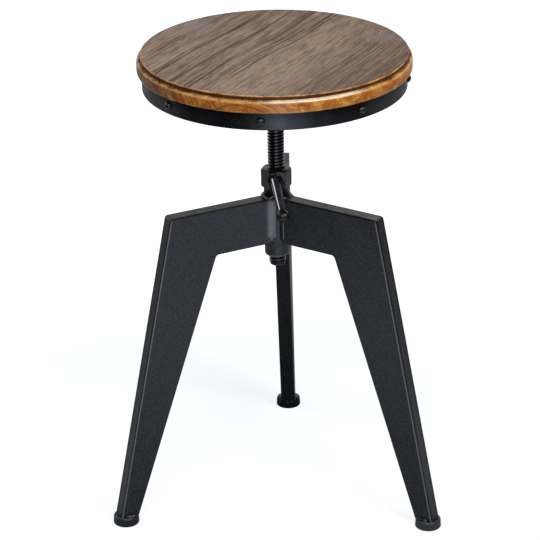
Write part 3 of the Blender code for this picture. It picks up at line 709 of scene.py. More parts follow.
@dataclass(frozen=True)
class BareSteel(Finish):
    """Machined or plated steel: fine turning lines and dull clouds."""

    colour: Colour
    dull: Colour
    roughness: float
    line: Colour = linear(92, 92, 92)
    line_share: float = 0.25
    grain: float = 700.0  # grains in a metre
    depth: float = 0.00004  # of the turning lines
    relief: float = 0.5  # strength of their shading
    spread: Pair = (0.12, -0.06)  # of the roughness, where it is dull and where it is bright

    def fill(self, graph: Graph, shader: Node) -> None:
        """Add the nodes of the steel."""
        place = graph.place()
        lines = place.scaled(120.0, 120.0, 5200.0).noise()
        tone = coat_grain(graph, Vector=place, Scale=self.grain)["Tone"]
        colour = graph.mix(tone, self.dull, self.colour)
        dull, bright = (self.roughness + change for change in self.spread)
        graph.feed(shader, {
            "Base Color": colour.under((lines.step(0.3, 0.7, 0.0, self.line_share), self.line)),
            "Roughness": (lines + tone).step(0.4, 1.6, dull, bright),
            "Metallic": 1.0,
            "Normal": lines.relief(self.depth, self.relief),
        })


@dataclass(frozen=True)
class StainedWood(Finish):
    """Brushed softwood: a grey-brown stained top, a honey-brown varnished edge, worn arrises, a painted
    highlight on the ledge's front corner and painted shade underneath.
    """

    grain_turn: float = 66.0  # grain's direction from +X
    middle: Spot = (0.0, -0.033575, 0.5475)  # middle of the board's lower face
    top: float = 0.5675  # level of its upper face
    ledge: float = 0.5620  # level of its turned step
    top_pale: Colour = linear(165, 142, 122)
    top_brown: Colour = linear(130, 107, 89)
    top_dark: Colour = linear(56, 38, 26)
    top_violet: Colour = linear(142, 128, 130)
    fleck: Colour = linear(190, 158, 116)
    honey: Colour = linear(206, 130, 51)
    honey_light: Colour = linear(230, 171, 80)
    honey_deep: Colour = linear(166, 90, 30)
    honey_dark: Colour = linear(70, 34, 10)
    riser: Colour = linear(66, 33, 11)
    arris: Colour = linear(212, 164, 100)
    ledge_highlight: Colour = linear(244, 226, 196)  # painted highlight on the front right of the ledge's corner
    # Painted shade on the board's underside
    underside_shade: Colour = linear(26, 18, 13)
    # How strong each layer of colour is, on the top and then on the edge
    streak_share: float = 0.18
    fibre_dark: float = 0.56
    line_dark: float = 0.90
    violet_share: float = 0.48
    fleck_share: float = 0.36
    stroke_share: float = 0.80
    crack_share: float = 0.45
    ring_dark: float = 0.72
    arch_share: float = 0.55
    # Darker towards the left of the edge: painted shade, with some darker stain
    left_dark: float = 0.68
    # Painted shade along the edge's lower rounding and the underside
    low_dark: float = 0.85
    edge_fibre_dark: float = 0.32
    arris_share: float = 0.85
    ragged: float = 0.25  # how unevenly the stain ends at the arris
    wear: float = 0.46
    relief: Pair = (0.00022, 0.7)  # depth and strength
    roughness: Pair = (0.46, 0.60)
    specular: float = 0.15
    varnish: Pair = (0.42, 0.60)  # least and most of it
    varnish_rough: float = 0.16
    # Pale violet patches on the top: place, and how far they reach
    patches: tuple[Spot, ...] = ((-0.100, 0.055, 0.040), (0.126, 0.016, 0.034), (0.026, -0.128, 0.034))
    # Scratches on the top: place, direction, length and half width
    scratches: tuple[tuple[float, float, float, float, float], ...] = (
        (0.1063, 0.0335, 107.0, 0.015, 0.0010), (0.1108, 0.0295, 75.0, 0.028, 0.0010),
        (0.1216, 0.0310, 81.0, 0.021, 0.0011), (0.1078, 0.0045, 91.0, 0.018, 0.0008),
        (0.0890, -0.0475, 64.0, 0.074, 0.0008), (0.0108, -0.1353, 41.6, 0.042, 0.0011),
        (0.1425, -0.0478, 70.0, 0.034, 0.0008), (0.1340, 0.0170, 35.0, 0.014, 0.0008),
        (-0.0300, -0.1500, 60.0, 0.022, 0.0007), (0.0420, -0.1430, 66.0, 0.026, 0.0007),
        (0.0560, 0.0700, 64.0, 0.020, 0.0007), (0.0720, -0.0980, 62.0, 0.030, 0.0007),
    )

    def fill(self, graph: Graph, shader: Node) -> None:
        """Add the nodes of the wood."""
        place, bottom = graph.place(), self.middle[2]
        turn = (0.0, 0.0, math.radians(self.grain_turn))
        inputs = {"Vector": place, "Location": self.middle, "Rotation": turn}
        board = graph.add("Mapping", inputs, vector_type="TEXTURE")
        grain = wood_grain(graph, Vector=board)
        face, riser, worn = (graph.value(name) for name in (FACE, RISER, WEAR))
        rub = edge_wear(graph, Vector=place, Edge=worn, Amount=self.wear)["Mask"]
        strokes = self.strokes(graph, place)
        level = place.split()[2]
        ragged = face + (grain["Streak"] - 0.5) * self.ragged
        colour = self.side_colour(graph, place, grain).under(
            (ragged.step(0.35, 0.75), self.top_colour(graph, place, grain, strokes)),
            (riser * grain["Streak"].step(0.0, 1.0, 1.0, 0.90), self.riser),
            (rub * self.arris_share, self.arris),
            # Painted highlight on the ledge's corner
            (self.highlight_zone(place) * worn.step(0.3, 0.9), self.ledge_highlight),
            # Painted shade on the board's underside
            (level.step(bottom + 0.0006, bottom + 0.0001), self.underside_shade),
        )
        varnish = (1.0 - face) * grain["Blotch"].step(0.0, 1.0, *self.varnish)
        varnish = varnish * level.step(bottom, bottom + 0.0012) * riser.step(0.0, 1.0, 1.0, 0.15)
        height = grain["Fibre"] * 0.35 - grain["Line"] * 0.65 - strokes * 0.5
        graph.feed(shader, {
            "Base Color": colour,
            "Roughness": (grain["Fibre"] + grain["Blotch"]).step(0.0, 2.0, *self.roughness),
            "Specular IOR Level": self.specular,
            "Coat Weight": varnish,
            "Coat Roughness": self.varnish_rough,
            "Normal": height.relief(*self.relief),
        })

    def highlight_zone(self, place: Wire) -> Wire:
        """Mask of the front right part of the ledge's corner, where a highlight is painted."""
        across, depth, level = place.split()
        zone = across.step(-0.012, 0.016) * across.step(0.118, 0.085) * depth.step(-0.10, -0.13)
        zone = zone * level.step(self.ledge + 0.0012, self.ledge + 0.0002)
        zone = zone * level.step(self.ledge - 0.0026, self.ledge - 0.0014)
        return zone * place.noise(120.0, 4.0, 0.7).step(0.30, 0.55, 0.45, 0.85)

    def strokes(self, graph: Graph, place: Wire) -> Wire:
        """Mask of all scratches on the board."""
        return reduce(Wire.most, [
            scratch(
                graph, Vector=place, Centre=(x, y, self.top), Turn=-math.radians(turn),
                Length=length, Width=width,
            )["Mask"] for x, y, turn, length, width in self.scratches
        ])

    def top_colour(self, graph: Graph, place: Wire, grain: dict[str, Wire], strokes: Wire) -> Wire:
        """Colour of the stained top.

        Args:
            graph: the material's graph.
            place: place on the board.
            grain: outputs of the wood grain.
            strokes: mask of the scratches.

        Returns:
            The colour.
        """
        layers = [
            (grain["Fibre"].step(0.0, 0.8, self.fibre_dark, 0.0), self.top_dark),
            (grain["Line"] * self.line_dark, self.top_dark),
        ]
        cloud = grain["Blotch"].step(0.0, 0.6, 0.45, 1.0)
        for x, y, reach in self.patches:
            away = graph.add("VectorMath", {0: place, 1: (x, y, self.top)}, "Value", operation="DISTANCE")
            layers.append((away.step(reach, reach * 0.2, 0.0, self.violet_share) * cloud, self.top_violet))
        layers.append(((grain["Fleck"] * self.fleck_share).most(strokes * self.stroke_share), self.fleck))
        tone = grain["Tone"] + grain["Streak"] * self.streak_share
        return graph.mix(tone, self.top_brown, self.top_pale).under(*layers)

    def side_colour(self, graph: Graph, place: Wire, grain: dict[str, Wire]) -> Wire:
        """Colour of the varnished edge.

        Args:
            graph: the material's graph.
            place: place on the board.
            grain: outputs of the wood grain.

        Returns:
            The colour.
        """
        across, _, level = place.split()
        bottom = self.middle[2]
        mottle = place.scaled(85.0, 85.0, 120.0).noise(1.0, 4.0, 0.65)
        cracks = place.scaled(330.0, 330.0, 45.0).noise()
        strong = grain["Heart"].step(0.25, 0.8, 0.75, 0.25)
        return graph.mix(grain["Blotch"], self.honey_deep, self.honey).under(
            (mottle.step(0.50, 0.66) * strong, self.honey_light),
            (mottle.step(0.49, 0.36) * strong, self.honey_deep),
            (cracks.step(0.65, 0.71, 0.0, self.crack_share), self.honey_light),
            (grain["Ring"] * self.ring_dark, self.honey_dark),
            (grain["Arch"] * self.arch_share, self.honey_light),
            # Darker towards the left of the edge: painted shade, with some darker stain
            (across.step(-0.080, -0.145, 0.0, self.left_dark), self.honey_dark),
            # Painted shade along the edge's lower rounding
            (level.step(bottom + 0.0024, bottom, 0.0, self.low_dark), self.honey_dark),
            (grain["Fibre"].step(0.0, 1.0, self.edge_fibre_dark, 0.0), self.honey_dark),
        )


WOOD = StainedWood(Slot.WOOD, "stained_planks")
BAND = BlackCoat(
    Slot.BAND, "satin_band", linear(7, 7, 8), linear(15, 15, 17), roughness=0.30, grain=800.0,
)
RIVET = BlackCoat(
    Slot.RIVET, "satin_rivet", linear(6, 6, 7), linear(14, 14, 15),
    roughness=0.34, grain=1100.0, depth=0.00003,
)
# On the legs, the rubbed colour and strong wear paint an edge highlight as well as wear
LEG = BlackCoat(
    Slot.LEG, "powder_leg", linear(4, 5, 6), linear(46, 48, 53), linear(100, 105, 114),
    grain=480.0, depth=0.00050, wear=0.70, dust_and_light=0.03,
)
THREAD = BlackCoat(
    Slot.THREAD, "oiled_thread", linear(3, 3, 3), linear(8, 8, 8), linear(70, 70, 68),
    roughness=0.14, uneven=0.06, depth=0.00002, specular=0.60, wear=0.12, dust_and_light=0.0,
)
NUT = BlackCoat(
    Slot.NUT, "blacked_nut", linear(8, 8, 9), linear(19, 19, 21),
    roughness=0.28, grain=800.0, depth=0.00006, wear=0.12,
)
BALL = BlackCoat(
    Slot.NUT, "satin_ball", linear(6, 6, 6), linear(13, 13, 14),
    roughness=0.38, grain=1000.0, depth=0.00002, dust_and_light=0.0,
)
LEVER = BlackCoat(
    Slot.LEVER, "black_nickel", linear(164, 164, 165), linear(172, 172, 172), linear(190, 190, 190),
    roughness=0.20, uneven=0.04, depth=0.000002, metallic=1.0, wear=0.15, dust_and_light=0.0,
)
WELD = BlackCoat(
    Slot.WELD, "coated_weld", linear(9, 9, 10), linear(24, 25, 27), flat_face=linear(122, 127, 137),
    roughness=0.25, grain=700.0, depth=0.00016, wear=0.30,
)
FOOT = BlackCoat(
    Slot.FOOT, "moulded_foot", linear(13, 13, 14), linear(30, 31, 34), linear(52, 53, 56),
    roughness=0.36, depth=0.00006, wear=0.28, dust_and_light=0.03,
)
# The right leg takes more dust colour on faces that look up: painted light on its top
LEG_LIT_TOP = replace(LEG, look="powder_leg_lit_top", dust_and_light=0.42)
# Paler right foot: painted light
FOOT_LIT = replace(FOOT, look="moulded_foot_lit", colour=linear(30, 32, 35), pale=linear(62, 66, 72))
# Darker rear foot: painted shade
FOOT_SHADED = replace(
    FOOT, look="moulded_foot_shaded", colour=linear(5, 5, 6), pale=linear(13, 13, 14), specular=0.3,
)
BUSH = BareSteel(Slot.BUSH, "turned_bush", linear(132, 128, 120), linear(84, 81, 76), 0.40)
ZINC = BareSteel(Slot.ZINC, "zinc_plate", linear(176, 178, 178), linear(128, 130, 132), 0.32)


def add_piece(
    name: str, shape: Shape, finish: Finish, body: Body, node: str,
    matrix: Matrix = Matrix(), sharp: float = 40.0,
) -> None:
    """Add a dressed piece that stands for a CAD node.

    Args:
        name: name of the piece.
        shape: its shape, which is used up.
        finish: its finish.
        body: the body that it rides on.
        node: the CAD node that it stands for.
        matrix: where the shape goes in the stool.
        sharp: angle above which an edge shades sharp.
    """
    mesh = mesh_of(shape, name)
    mesh.transform(matrix)
    mesh.materials.append(finish.material())
    mesh.shade_smooth()
    mesh.set_sharp_from_angle(angle=math.radians(sharp))
    piece = bpy.data.objects.new(name, mesh)
    bpy.context.scene.collection.objects.link(piece)
    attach(piece, body.value)
    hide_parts(node)
    log.info("%s: %d faces, %s", name, len(mesh.polygons), finish.slot.value)


def dress_node(name: str, finish: Finish) -> None:
    """Give a CAD node that stays a finish in all its slots."""
    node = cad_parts[name]
    for item in node.material_slots:
        item.material = finish.material()
    if not node.material_slots:
        node.data.materials.append(finish.material())
    log.info("%s: kept, %s", name, finish.slot.value)


def bead(root: Vector, one: Vector, other: Vector, middle: Vector, bulge: float) -> list[Vector]:
    """Section of a fillet weld.

    Args:
        root: corner between the two pieces that it joins.
        one: toe on the first piece.
        other: toe on the second piece.
        middle: point of the second piece between the root and its toe.
        bulge: crown between the toes, as a share of the bead's size.

    Returns:
        The ring of points.
    """
    steps = 8
    out = ((one + other) / 2 - root) * 2 * bulge
    face = [one.lerp(other, k / steps) + out * 4 * (k / steps) * (1 - k / steps) for k in range(steps + 1)]
    return [root, *face, middle]


def ripple(length: float, seed: float, wave: float = 0.0028) -> float:
    """Uneven size of a weld along its length, from about -1 to 1."""
    broad = noise.noise(Vector((length / wave, seed, 0.0)))
    return broad + 0.5 * noise.noise(Vector((length / wave * 2.7, seed, 7.0)))


@dataclass
class Seat:
    """Board, riveted band, and the cross that carries them."""

    layout: Layout
    thickness: float = 0.0200
    step_width: float = 0.0040
    step_depth: float = 0.0055
    step_round: float = 0.0004
    arris: float = 0.0012
    ledge_round: float = 0.0030
    lower_round: float = 0.0020
    segments: int = 288
    worn_off: Pair = (0.00016, 0.00022)  # depth of the even wear and of the dents
    band_edge: float = 0.0005
    band_shade: Spot = (0.45, 0.012, 0.003)  # painted shade on the band under the board, and how far down it starts and is full
    rivet_count: int = 8
    rivet_head: Spot = (0.0053, 0.0040, 0.0003)  # radius, height, rounding of its rim
    rivet_shank: float = 0.0027
    rivet_tail: Spot = (0.0035, 0.0018, 0.0006)  # radius, height, rounding
    rivet_dent: float = 0.00012
    cross_width: float = 0.030
    cross_turn: float = 22.5
    cross_edge: float = 0.0006
    screw_circle: float = 0.100
    screw_shank: float = 0.00225
    screw_head: Pair = (0.00475, 0.0030)  # radius, height
    screw_bite: float = 0.0130
    screw_recess: Spot = (0.0052, 0.0011, 0.0016)  # span, width, depth

    def build(self) -> None:
        """Build and dress all pieces."""
        self.add_board()
        self.add_band()
        self.add_rivets()
        self.add_cross()
        self.add_screws()

    def screw_angles(self) -> list[float]:
        """Angles of the screws, in radians."""
        return [math.radians(self.cross_turn + 90 * i) for i in range(4)]

    def rivet_angles(self) -> list[float]:
        """Angles of the rivets, in radians."""
        return [math.radians(-90 + 360 / self.rivet_count * i) for i in range(self.rivet_count)]

    def on_band(self, radius: float, angle: float) -> Matrix:
        """Place half-way up the band, with its own Z outwards."""
        level = (self.layout.band_bottom + self.layout.band_top) / 2
        outward = Euler((0, math.pi / 2, angle)).to_matrix().to_4x4()
        return Matrix.Translation(polar(radius, angle, level)) @ outward

    def add_board(self) -> None:
        """Turned board with a stepped, worn edge and pilot holes under it."""
        top, edge, gap = self.thickness, self.layout.seat_radius, self.layout.gap
        ledge, inner = top - self.step_depth, edge - self.step_width
        profile = softened([
            (0.0, 0.0, 0.0), (edge, 0.0, self.lower_round), (edge, ledge, self.ledge_round),
            (inner, ledge, self.step_round), (inner, top, self.arris), (0.0, top, 0.0),
        ], steps=5, fade=0.0011)
        rim = next(i for i, spot in enumerate(profile) if spot[1] > top - 1e-6)
        inward = [(inner * share, top, 0.0) for share in (0.96, 0.85, 0.6, 0.3)]
        shape = revolve(profile[: rim + 2] + inward + profile[-1:], self.segments)
        self.rub(shape)
        shape = combined(shape, [
            drill(
                self.screw_shank + gap, self.screw_bite + gap, 16,
                Matrix.Translation(polar(self.screw_circle, angle)),
            ) for angle in self.screw_angles()
        ])
        self.mark(shape)
        place = self.layout.seat_axis() @ Matrix.Translation((0, 0, self.layout.board_bottom))
        add_piece("wood_board", shape, WOOD, Body.SEAT, "seat_board", place, 50.0)

    def rub(self, shape: Shape) -> None:
        """Wear the upper arrises unevenly, with a few small dents."""
        layer = shape.verts.layers.float[WEAR]
        even, dent = self.worn_off
        for vert in shape.verts:
            if vert[layer] < 0.1 or vert.co.z < self.thickness / 3:  # not worn, or the lower edge
                continue
            around = polar(1.0, math.atan2(vert.co.y, vert.co.x), vert.co.z * 40)
            hollow = smooth(0.15, 0.6, noise.noise(around * 31 + Vector((5, 0, 0))))
            lost = even * (1 + noise.noise(around * 9)) + dent * hollow
            away = Vector((vert.co.x, vert.co.y, 0.0)).normalized()
            vert.co -= (away + Vector((0, 0, 1))) * lost * vert[layer]

    def mark(self, shape: Shape) -> None:
        """Mark the stained top and the turned step for the wood's finish."""
        face, riser = (shape.verts.layers.float.new(name) for name in (FACE, RISER))
        top, inner = self.thickness, self.layout.seat_radius - self.step_width
        # With some slack, because rounding and wear move the points
        inside, outside = inner - 0.0006, inner + self.step_width * 0.72
        low, high = top - self.step_depth - 0.0004, top - self.arris * 0.9
        for vert in shape.verts:
            radius, level = vert.co.xy.length, vert.co.z
            vert[face] = float(level > top - 0.0005 and radius < inner - 0.0002)
            vert[riser] = float(inside < radius < outside and low < level < high)

    def add_band(self) -> None:
        """Rolled band with its rivet holes."""
        outer, inner, edge = self.layout.band_radius, self.layout.band_inner, self.band_edge
        low, high = self.layout.band_bottom, self.layout.band_top
        shade_and_dirt, unmarked, full_shade = self.band_shade[0], high - self.band_shade[1], high - self.band_shade[2]
        corners = [
            (inner, low, edge), (outer, low, edge), (outer, unmarked, 0.0), (outer, full_shade, 0.0),
            (outer, high, edge), (inner, high, edge),
        ]
        shape = revolve(softened(corners, closed=True, steps=3), 240)
        # Painted shade at the top of the band, under the board's overhang
        marked(shape, SHADE_AND_DIRT, lambda spot: shade_and_dirt * smooth(unmarked, full_shade, spot.z))
        shape = combined(shape, [
            drill(self.rivet_shank + self.layout.gap, 0.006, 20, self.on_band((outer + inner) / 2, angle))
            for angle in self.rivet_angles()
        ])
        add_piece("steel_band", shape, BAND, Body.SEAT, "seat_band", self.layout.seat_axis())

    def add_rivets(self) -> None:
        """Dome-headed rivets, each set a little differently."""
        (radius, height, rim), shank, gap = self.rivet_head, self.rivet_shank, self.layout.gap
        tail, tail_height, tail_round = self.rivet_tail
        inside = self.layout.band_inner - self.layout.band_radius - gap
        end, steps = inside - tail_height, 9
        dome = (radius**2 + height**2) / (2 * height)
        angles = [math.asin(radius / dome) * k / steps for k in range(steps)]
        cap = [(dome * math.sin(turn), gap + height - dome + dome * math.cos(turn), 0.0) for turn in angles]
        corners = [
            (0.0, end, 0.0), (tail, end, tail_round), (tail, inside, 0.0), (shank, inside, 0.0),
            (shank, gap, 0.0), (radius, gap, rim), cap[-1],
        ]
        profile = softened(corners, steps=3, fade=0.0003)[:-1] + cap[::-1]
        for i, angle in enumerate(self.rivet_angles()):
            shape = revolve(profile, 32)
            for vert in shape.verts:
                if vert.co.z > gap + height * 0.2:
                    dent = noise.noise(vert.co * 260 + Vector((i * 3.1, 0, 0)))
                    vert.co.z -= self.rivet_dent * (1 + dent)
            place = self.layout.seat_axis() @ self.on_band(self.layout.band_radius, angle)
            add_piece(f"dome_rivet_{i + 1}", shape, RIVET, Body.SEAT, f"band_rivet_{i + 1}", place)

    def add_cross(self) -> None:
        """Flat-bar cross with the spindle's hole and four screw holes."""
        half, low, high = self.cross_width / 2, self.layout.cross_bottom, self.layout.cross_top
        level, gap, through = (low + high) / 2, self.layout.gap, 0.01
        outline = plus(math.sqrt((self.layout.band_inner - gap) ** 2 - half**2), half)
        shape = loft([[Vector((*point, height)) for point in outline] for height in (low, high)])
        bmesh.ops.bevel(
            shape, geom=list(shape.edges), offset=self.cross_edge, segments=2, profile=0.5, affect="EDGES",
        )
        middle = Matrix.Translation((0, 0, level))
        drills = [drill(self.layout.spindle_radius + gap, through, 48, middle)]
        for i in range(4):
            place = Matrix.Translation(polar(self.screw_circle, math.pi / 2 * i, level))
            drills.append(drill(self.screw_shank + gap, through, 16, place))
        shape = combined(shape, drills)
        place = self.layout.seat_axis(self.cross_turn)
        add_piece("flat_bar_cross", shape, LEG, Body.SEAT, "seat_cross", place)

    def add_screws(self) -> None:
        """Pan-head wood screws with a cross recess."""
        (head, height), shank, gap = self.screw_head, self.screw_shank, self.layout.gap
        span, width, depth = self.screw_recess
        end, tip = -gap - height, self.layout.cross_top - self.layout.cross_bottom + gap + self.screw_bite
        corners = [
            (0.0, end, 0.0), (head * 0.72, end, 0.0012), (head, -gap - height * 0.5, 0.0006),
            (head, -gap, 0.0002), (shank, -gap, 0.0), (shank, tip - shank * 2.5, 0.0), (0.0, tip, 0.0),
        ]
        profile = softened(corners, steps=3, fade=0.0003)
        for i, angle in enumerate(self.screw_angles()):
            shape = combined(revolve(profile, 32), [recess(span, width, end, depth, 20.0 + 37 * i)])
            place = Matrix.Translation(polar(self.screw_circle, angle, self.layout.cross_bottom))
            place = self.layout.seat_axis() @ place
            add_piece(f"wood_screw_{i + 1}", shape, ZINC, Body.SEAT, f"seat_screw_{i + 1}", place)


@dataclass
class Spindle:
    """Threaded spindle, its weld under the cross, and the end stop."""

    layout: Layout
    pitch: float = 0.004
    depth: float = 0.0020
    per_turn: int = 40
    end_chamfer: float = 0.0012
    run_out: float = 0.006
    weld: float = 0.0045
    weld_crown: float = 0.14
    washer: Pair = (0.0087, 0.0026)  # radius, thickness
    washer_chamfer: float = 0.0010
    washer_edge: float = 0.0003
    screw: Spot = (0.0025, 0.0049, 0.016)  # shank and head radius, length
    screw_recess: Spot = (0.0058, 0.0012, 0.0018)  # span, width, depth
    screw_turn: float = 31.0
    # Rise and height of a tooth's corners, with the wear of its crest
    tooth: tuple[Spot, ...] = (
        (0.0, 0.04, 0.0), (0.0002, 0.0, 0.0), (0.0010, 0.0, 0.0), (0.0012, 0.04, 0.0),
        (0.00192, 0.90, 0.7), (0.00208, 1.0, 1.0), (0.00312, 1.0, 1.0), (0.00328, 0.90, 0.7),
    )

    def build(self) -> None:
        """Build and dress all pieces."""
        axis = self.layout.seat_axis()
        shape = combined(self.thread(), [self.blank()], Cut.COMMON)
        add_piece("threaded_spindle", shape, THREAD, Body.SEAT, "spindle", axis, 48.0)
        add_piece("spindle_root_bead", self.weld_ring(), WELD, Body.SEAT, "spindle_weld", axis)
        add_piece("stop_disc", self.stop_disc(), NUT, Body.END_STOP, "stop_washer", self.layout.axis())
        add_piece("stop_bolt", self.stop_bolt(), ZINC, Body.SEAT, "stop_screw", axis)

    def thread(self) -> Shape:
        """Right-hand trapezoidal thread that fades out under the seat, with plain ends."""
        outer, per_turn, tooth = self.layout.spindle_radius, self.per_turn, self.tooth
        root = outer - self.depth
        start, shoulder = self.layout.spindle_bottom - self.pitch, self.layout.cross_bottom - self.run_out
        last = per_turn * (int((shoulder - start) / self.pitch) - 1)
        fade = per_turn / 2
        shape = new_shape()
        layer = shape.verts.layers.float[WEAR]
        points: dict[tuple[int, int], bmesh.types.BMVert] = {}

        def point(step: int, corner: int) -> bmesh.types.BMVert:
            """Corner of the tooth at a step of the helix."""
            if corner == len(tooth):
                step, corner = step + per_turn, 0
            if (step, corner) not in points:
                rise, share, worn = tooth[corner]
                full = max(0.0, min(1.0, (last - step) / fade))
                place = polar(
                    root + self.depth * share * full, math.tau * step / per_turn,
                    start + self.pitch * step / per_turn + rise,
                )
                points[step, corner] = shape.verts.new(place)
                points[step, corner][layer] = worn * full
            return points[step, corner]

        def ring(radius: float, height: float) -> list[bmesh.types.BMVert]:
            """Ring of points at a plain end."""
            return [shape.verts.new(polar(radius, angle, height)) for angle in turns(per_turn)]

        def fan(tip: bmesh.types.BMVert, rows: list[bmesh.types.BMVert]) -> None:
            """Close the one step in a helical end."""
            for one, other in zip(rows, rows[1:]):
                shape.faces.new((tip, one, other))

        for step in range(last):
            for corner in range(len(tooth)):
                ahead = step + 1
                corners = ((step, corner), (ahead, corner), (ahead, corner + 1), (step, corner + 1))
                shape.faces.new([point(*spot) for spot in corners])
        low, high = ring(root, start - self.pitch), ring(root, shoulder)
        for i in range(per_turn - 1):
            shape.faces.new((low[i], low[i + 1], point(i + 1, 0), point(i, 0)))
        for i in range(1, per_turn):
            above = (high[(i + 1) % per_turn], high[i])
            shape.faces.new((point(last + i, 0), point(last + i + 1, 0), *above))
        corners = range(len(tooth) + 1)
        fan(point(per_turn - 1, 0), [low[-1], low[0]] + [point(0, corner) for corner in corners])
        fan(point(last + 1, 0), [high[1], high[0]] + [point(last, corner) for corner in reversed(corners)])
        neck, head = ring(outer, shoulder), ring(outer, self.layout.cross_top)
        sew(shape, high, neck)
        sew(shape, neck, head)
        shape.faces.new(head)
        shape.faces.new(low)
        return shape

    def blank(self) -> Shape:
        """Bar that leaves the thread whole, apart from its chamfered end and the screw's hole."""
        wide, over = self.layout.bore_radius, self.layout.cross_top + self.pitch
        low, end = self.layout.spindle_bottom, self.layout.spindle_radius - self.end_chamfer
        hole, depth = self.screw[0] + self.layout.gap, self.washer_bottom() + self.screw[2] + self.layout.gap
        spots = [(0.0, depth), (hole, depth), (hole, low), (end, low)]
        spots += [(wide, low + wide - end), (wide, over), (0.0, over)]
        return revolve([(*spot, 0.0) for spot in spots], 48)

    def washer_bottom(self) -> float:
        """Level of the end stop's lower face."""
        return self.layout.spindle_bottom - self.layout.gap - self.washer[1]

    def weld_ring(self) -> Shape:
        """Rippled weld round the spindle under the cross."""
        stations, gap = 96, self.layout.gap
        inner, top = self.layout.spindle_radius + gap, self.layout.cross_bottom - gap
        rings = []
        for angle in turns(stations):
            around = noise.noise(polar(2.4, angle, 3.0)) + 0.6 * noise.noise(polar(7.0, angle, 1.0))
            size = self.weld * (0.93 + 0.06 * around)
            levels = (0.0, size, size / 2)
            root, other, middle = (polar(inner, angle, top - level) for level in levels)
            rings.append(bead(root, polar(inner + size, angle, top), other, middle, self.weld_crown))
        return loft(rings, closed=True)

    def stop_disc(self) -> Shape:
        """Countersunk washer at the spindle's lower end."""
        (outer, thick), gap = self.washer, self.layout.gap
        edge, chamfer = self.washer_edge, self.washer_chamfer
        low, bore, sink = self.washer_bottom(), self.screw[0] + gap, self.screw[1] + gap
        corners = [
            (sink, low, 0.0), (outer - chamfer, low, edge), (outer, low + chamfer, edge),
            (outer, low + thick, edge), (bore, low + thick, 0.0), (bore, low + sink - bore, 0.0),
        ]
        return revolve(softened(corners, closed=True, steps=2, fade=0.0003), 64)

    def stop_bolt(self) -> Shape:
        """Countersunk screw that holds the washer."""
        (shank, head, length), low = self.screw, self.washer_bottom()
        span, width, depth = self.screw_recess
        corners = [
            (0.0, low, 0.0), (head, low, 0.0001), (shank, low + head - shank, 0.0),
            (shank, low + length, 0.0), (0.0, low + length, 0.0),
        ]
        shape = revolve(softened(corners, steps=2, fade=0.0002), 48)
        return combined(shape, [recess(span, width, low, depth, self.screw_turn)])


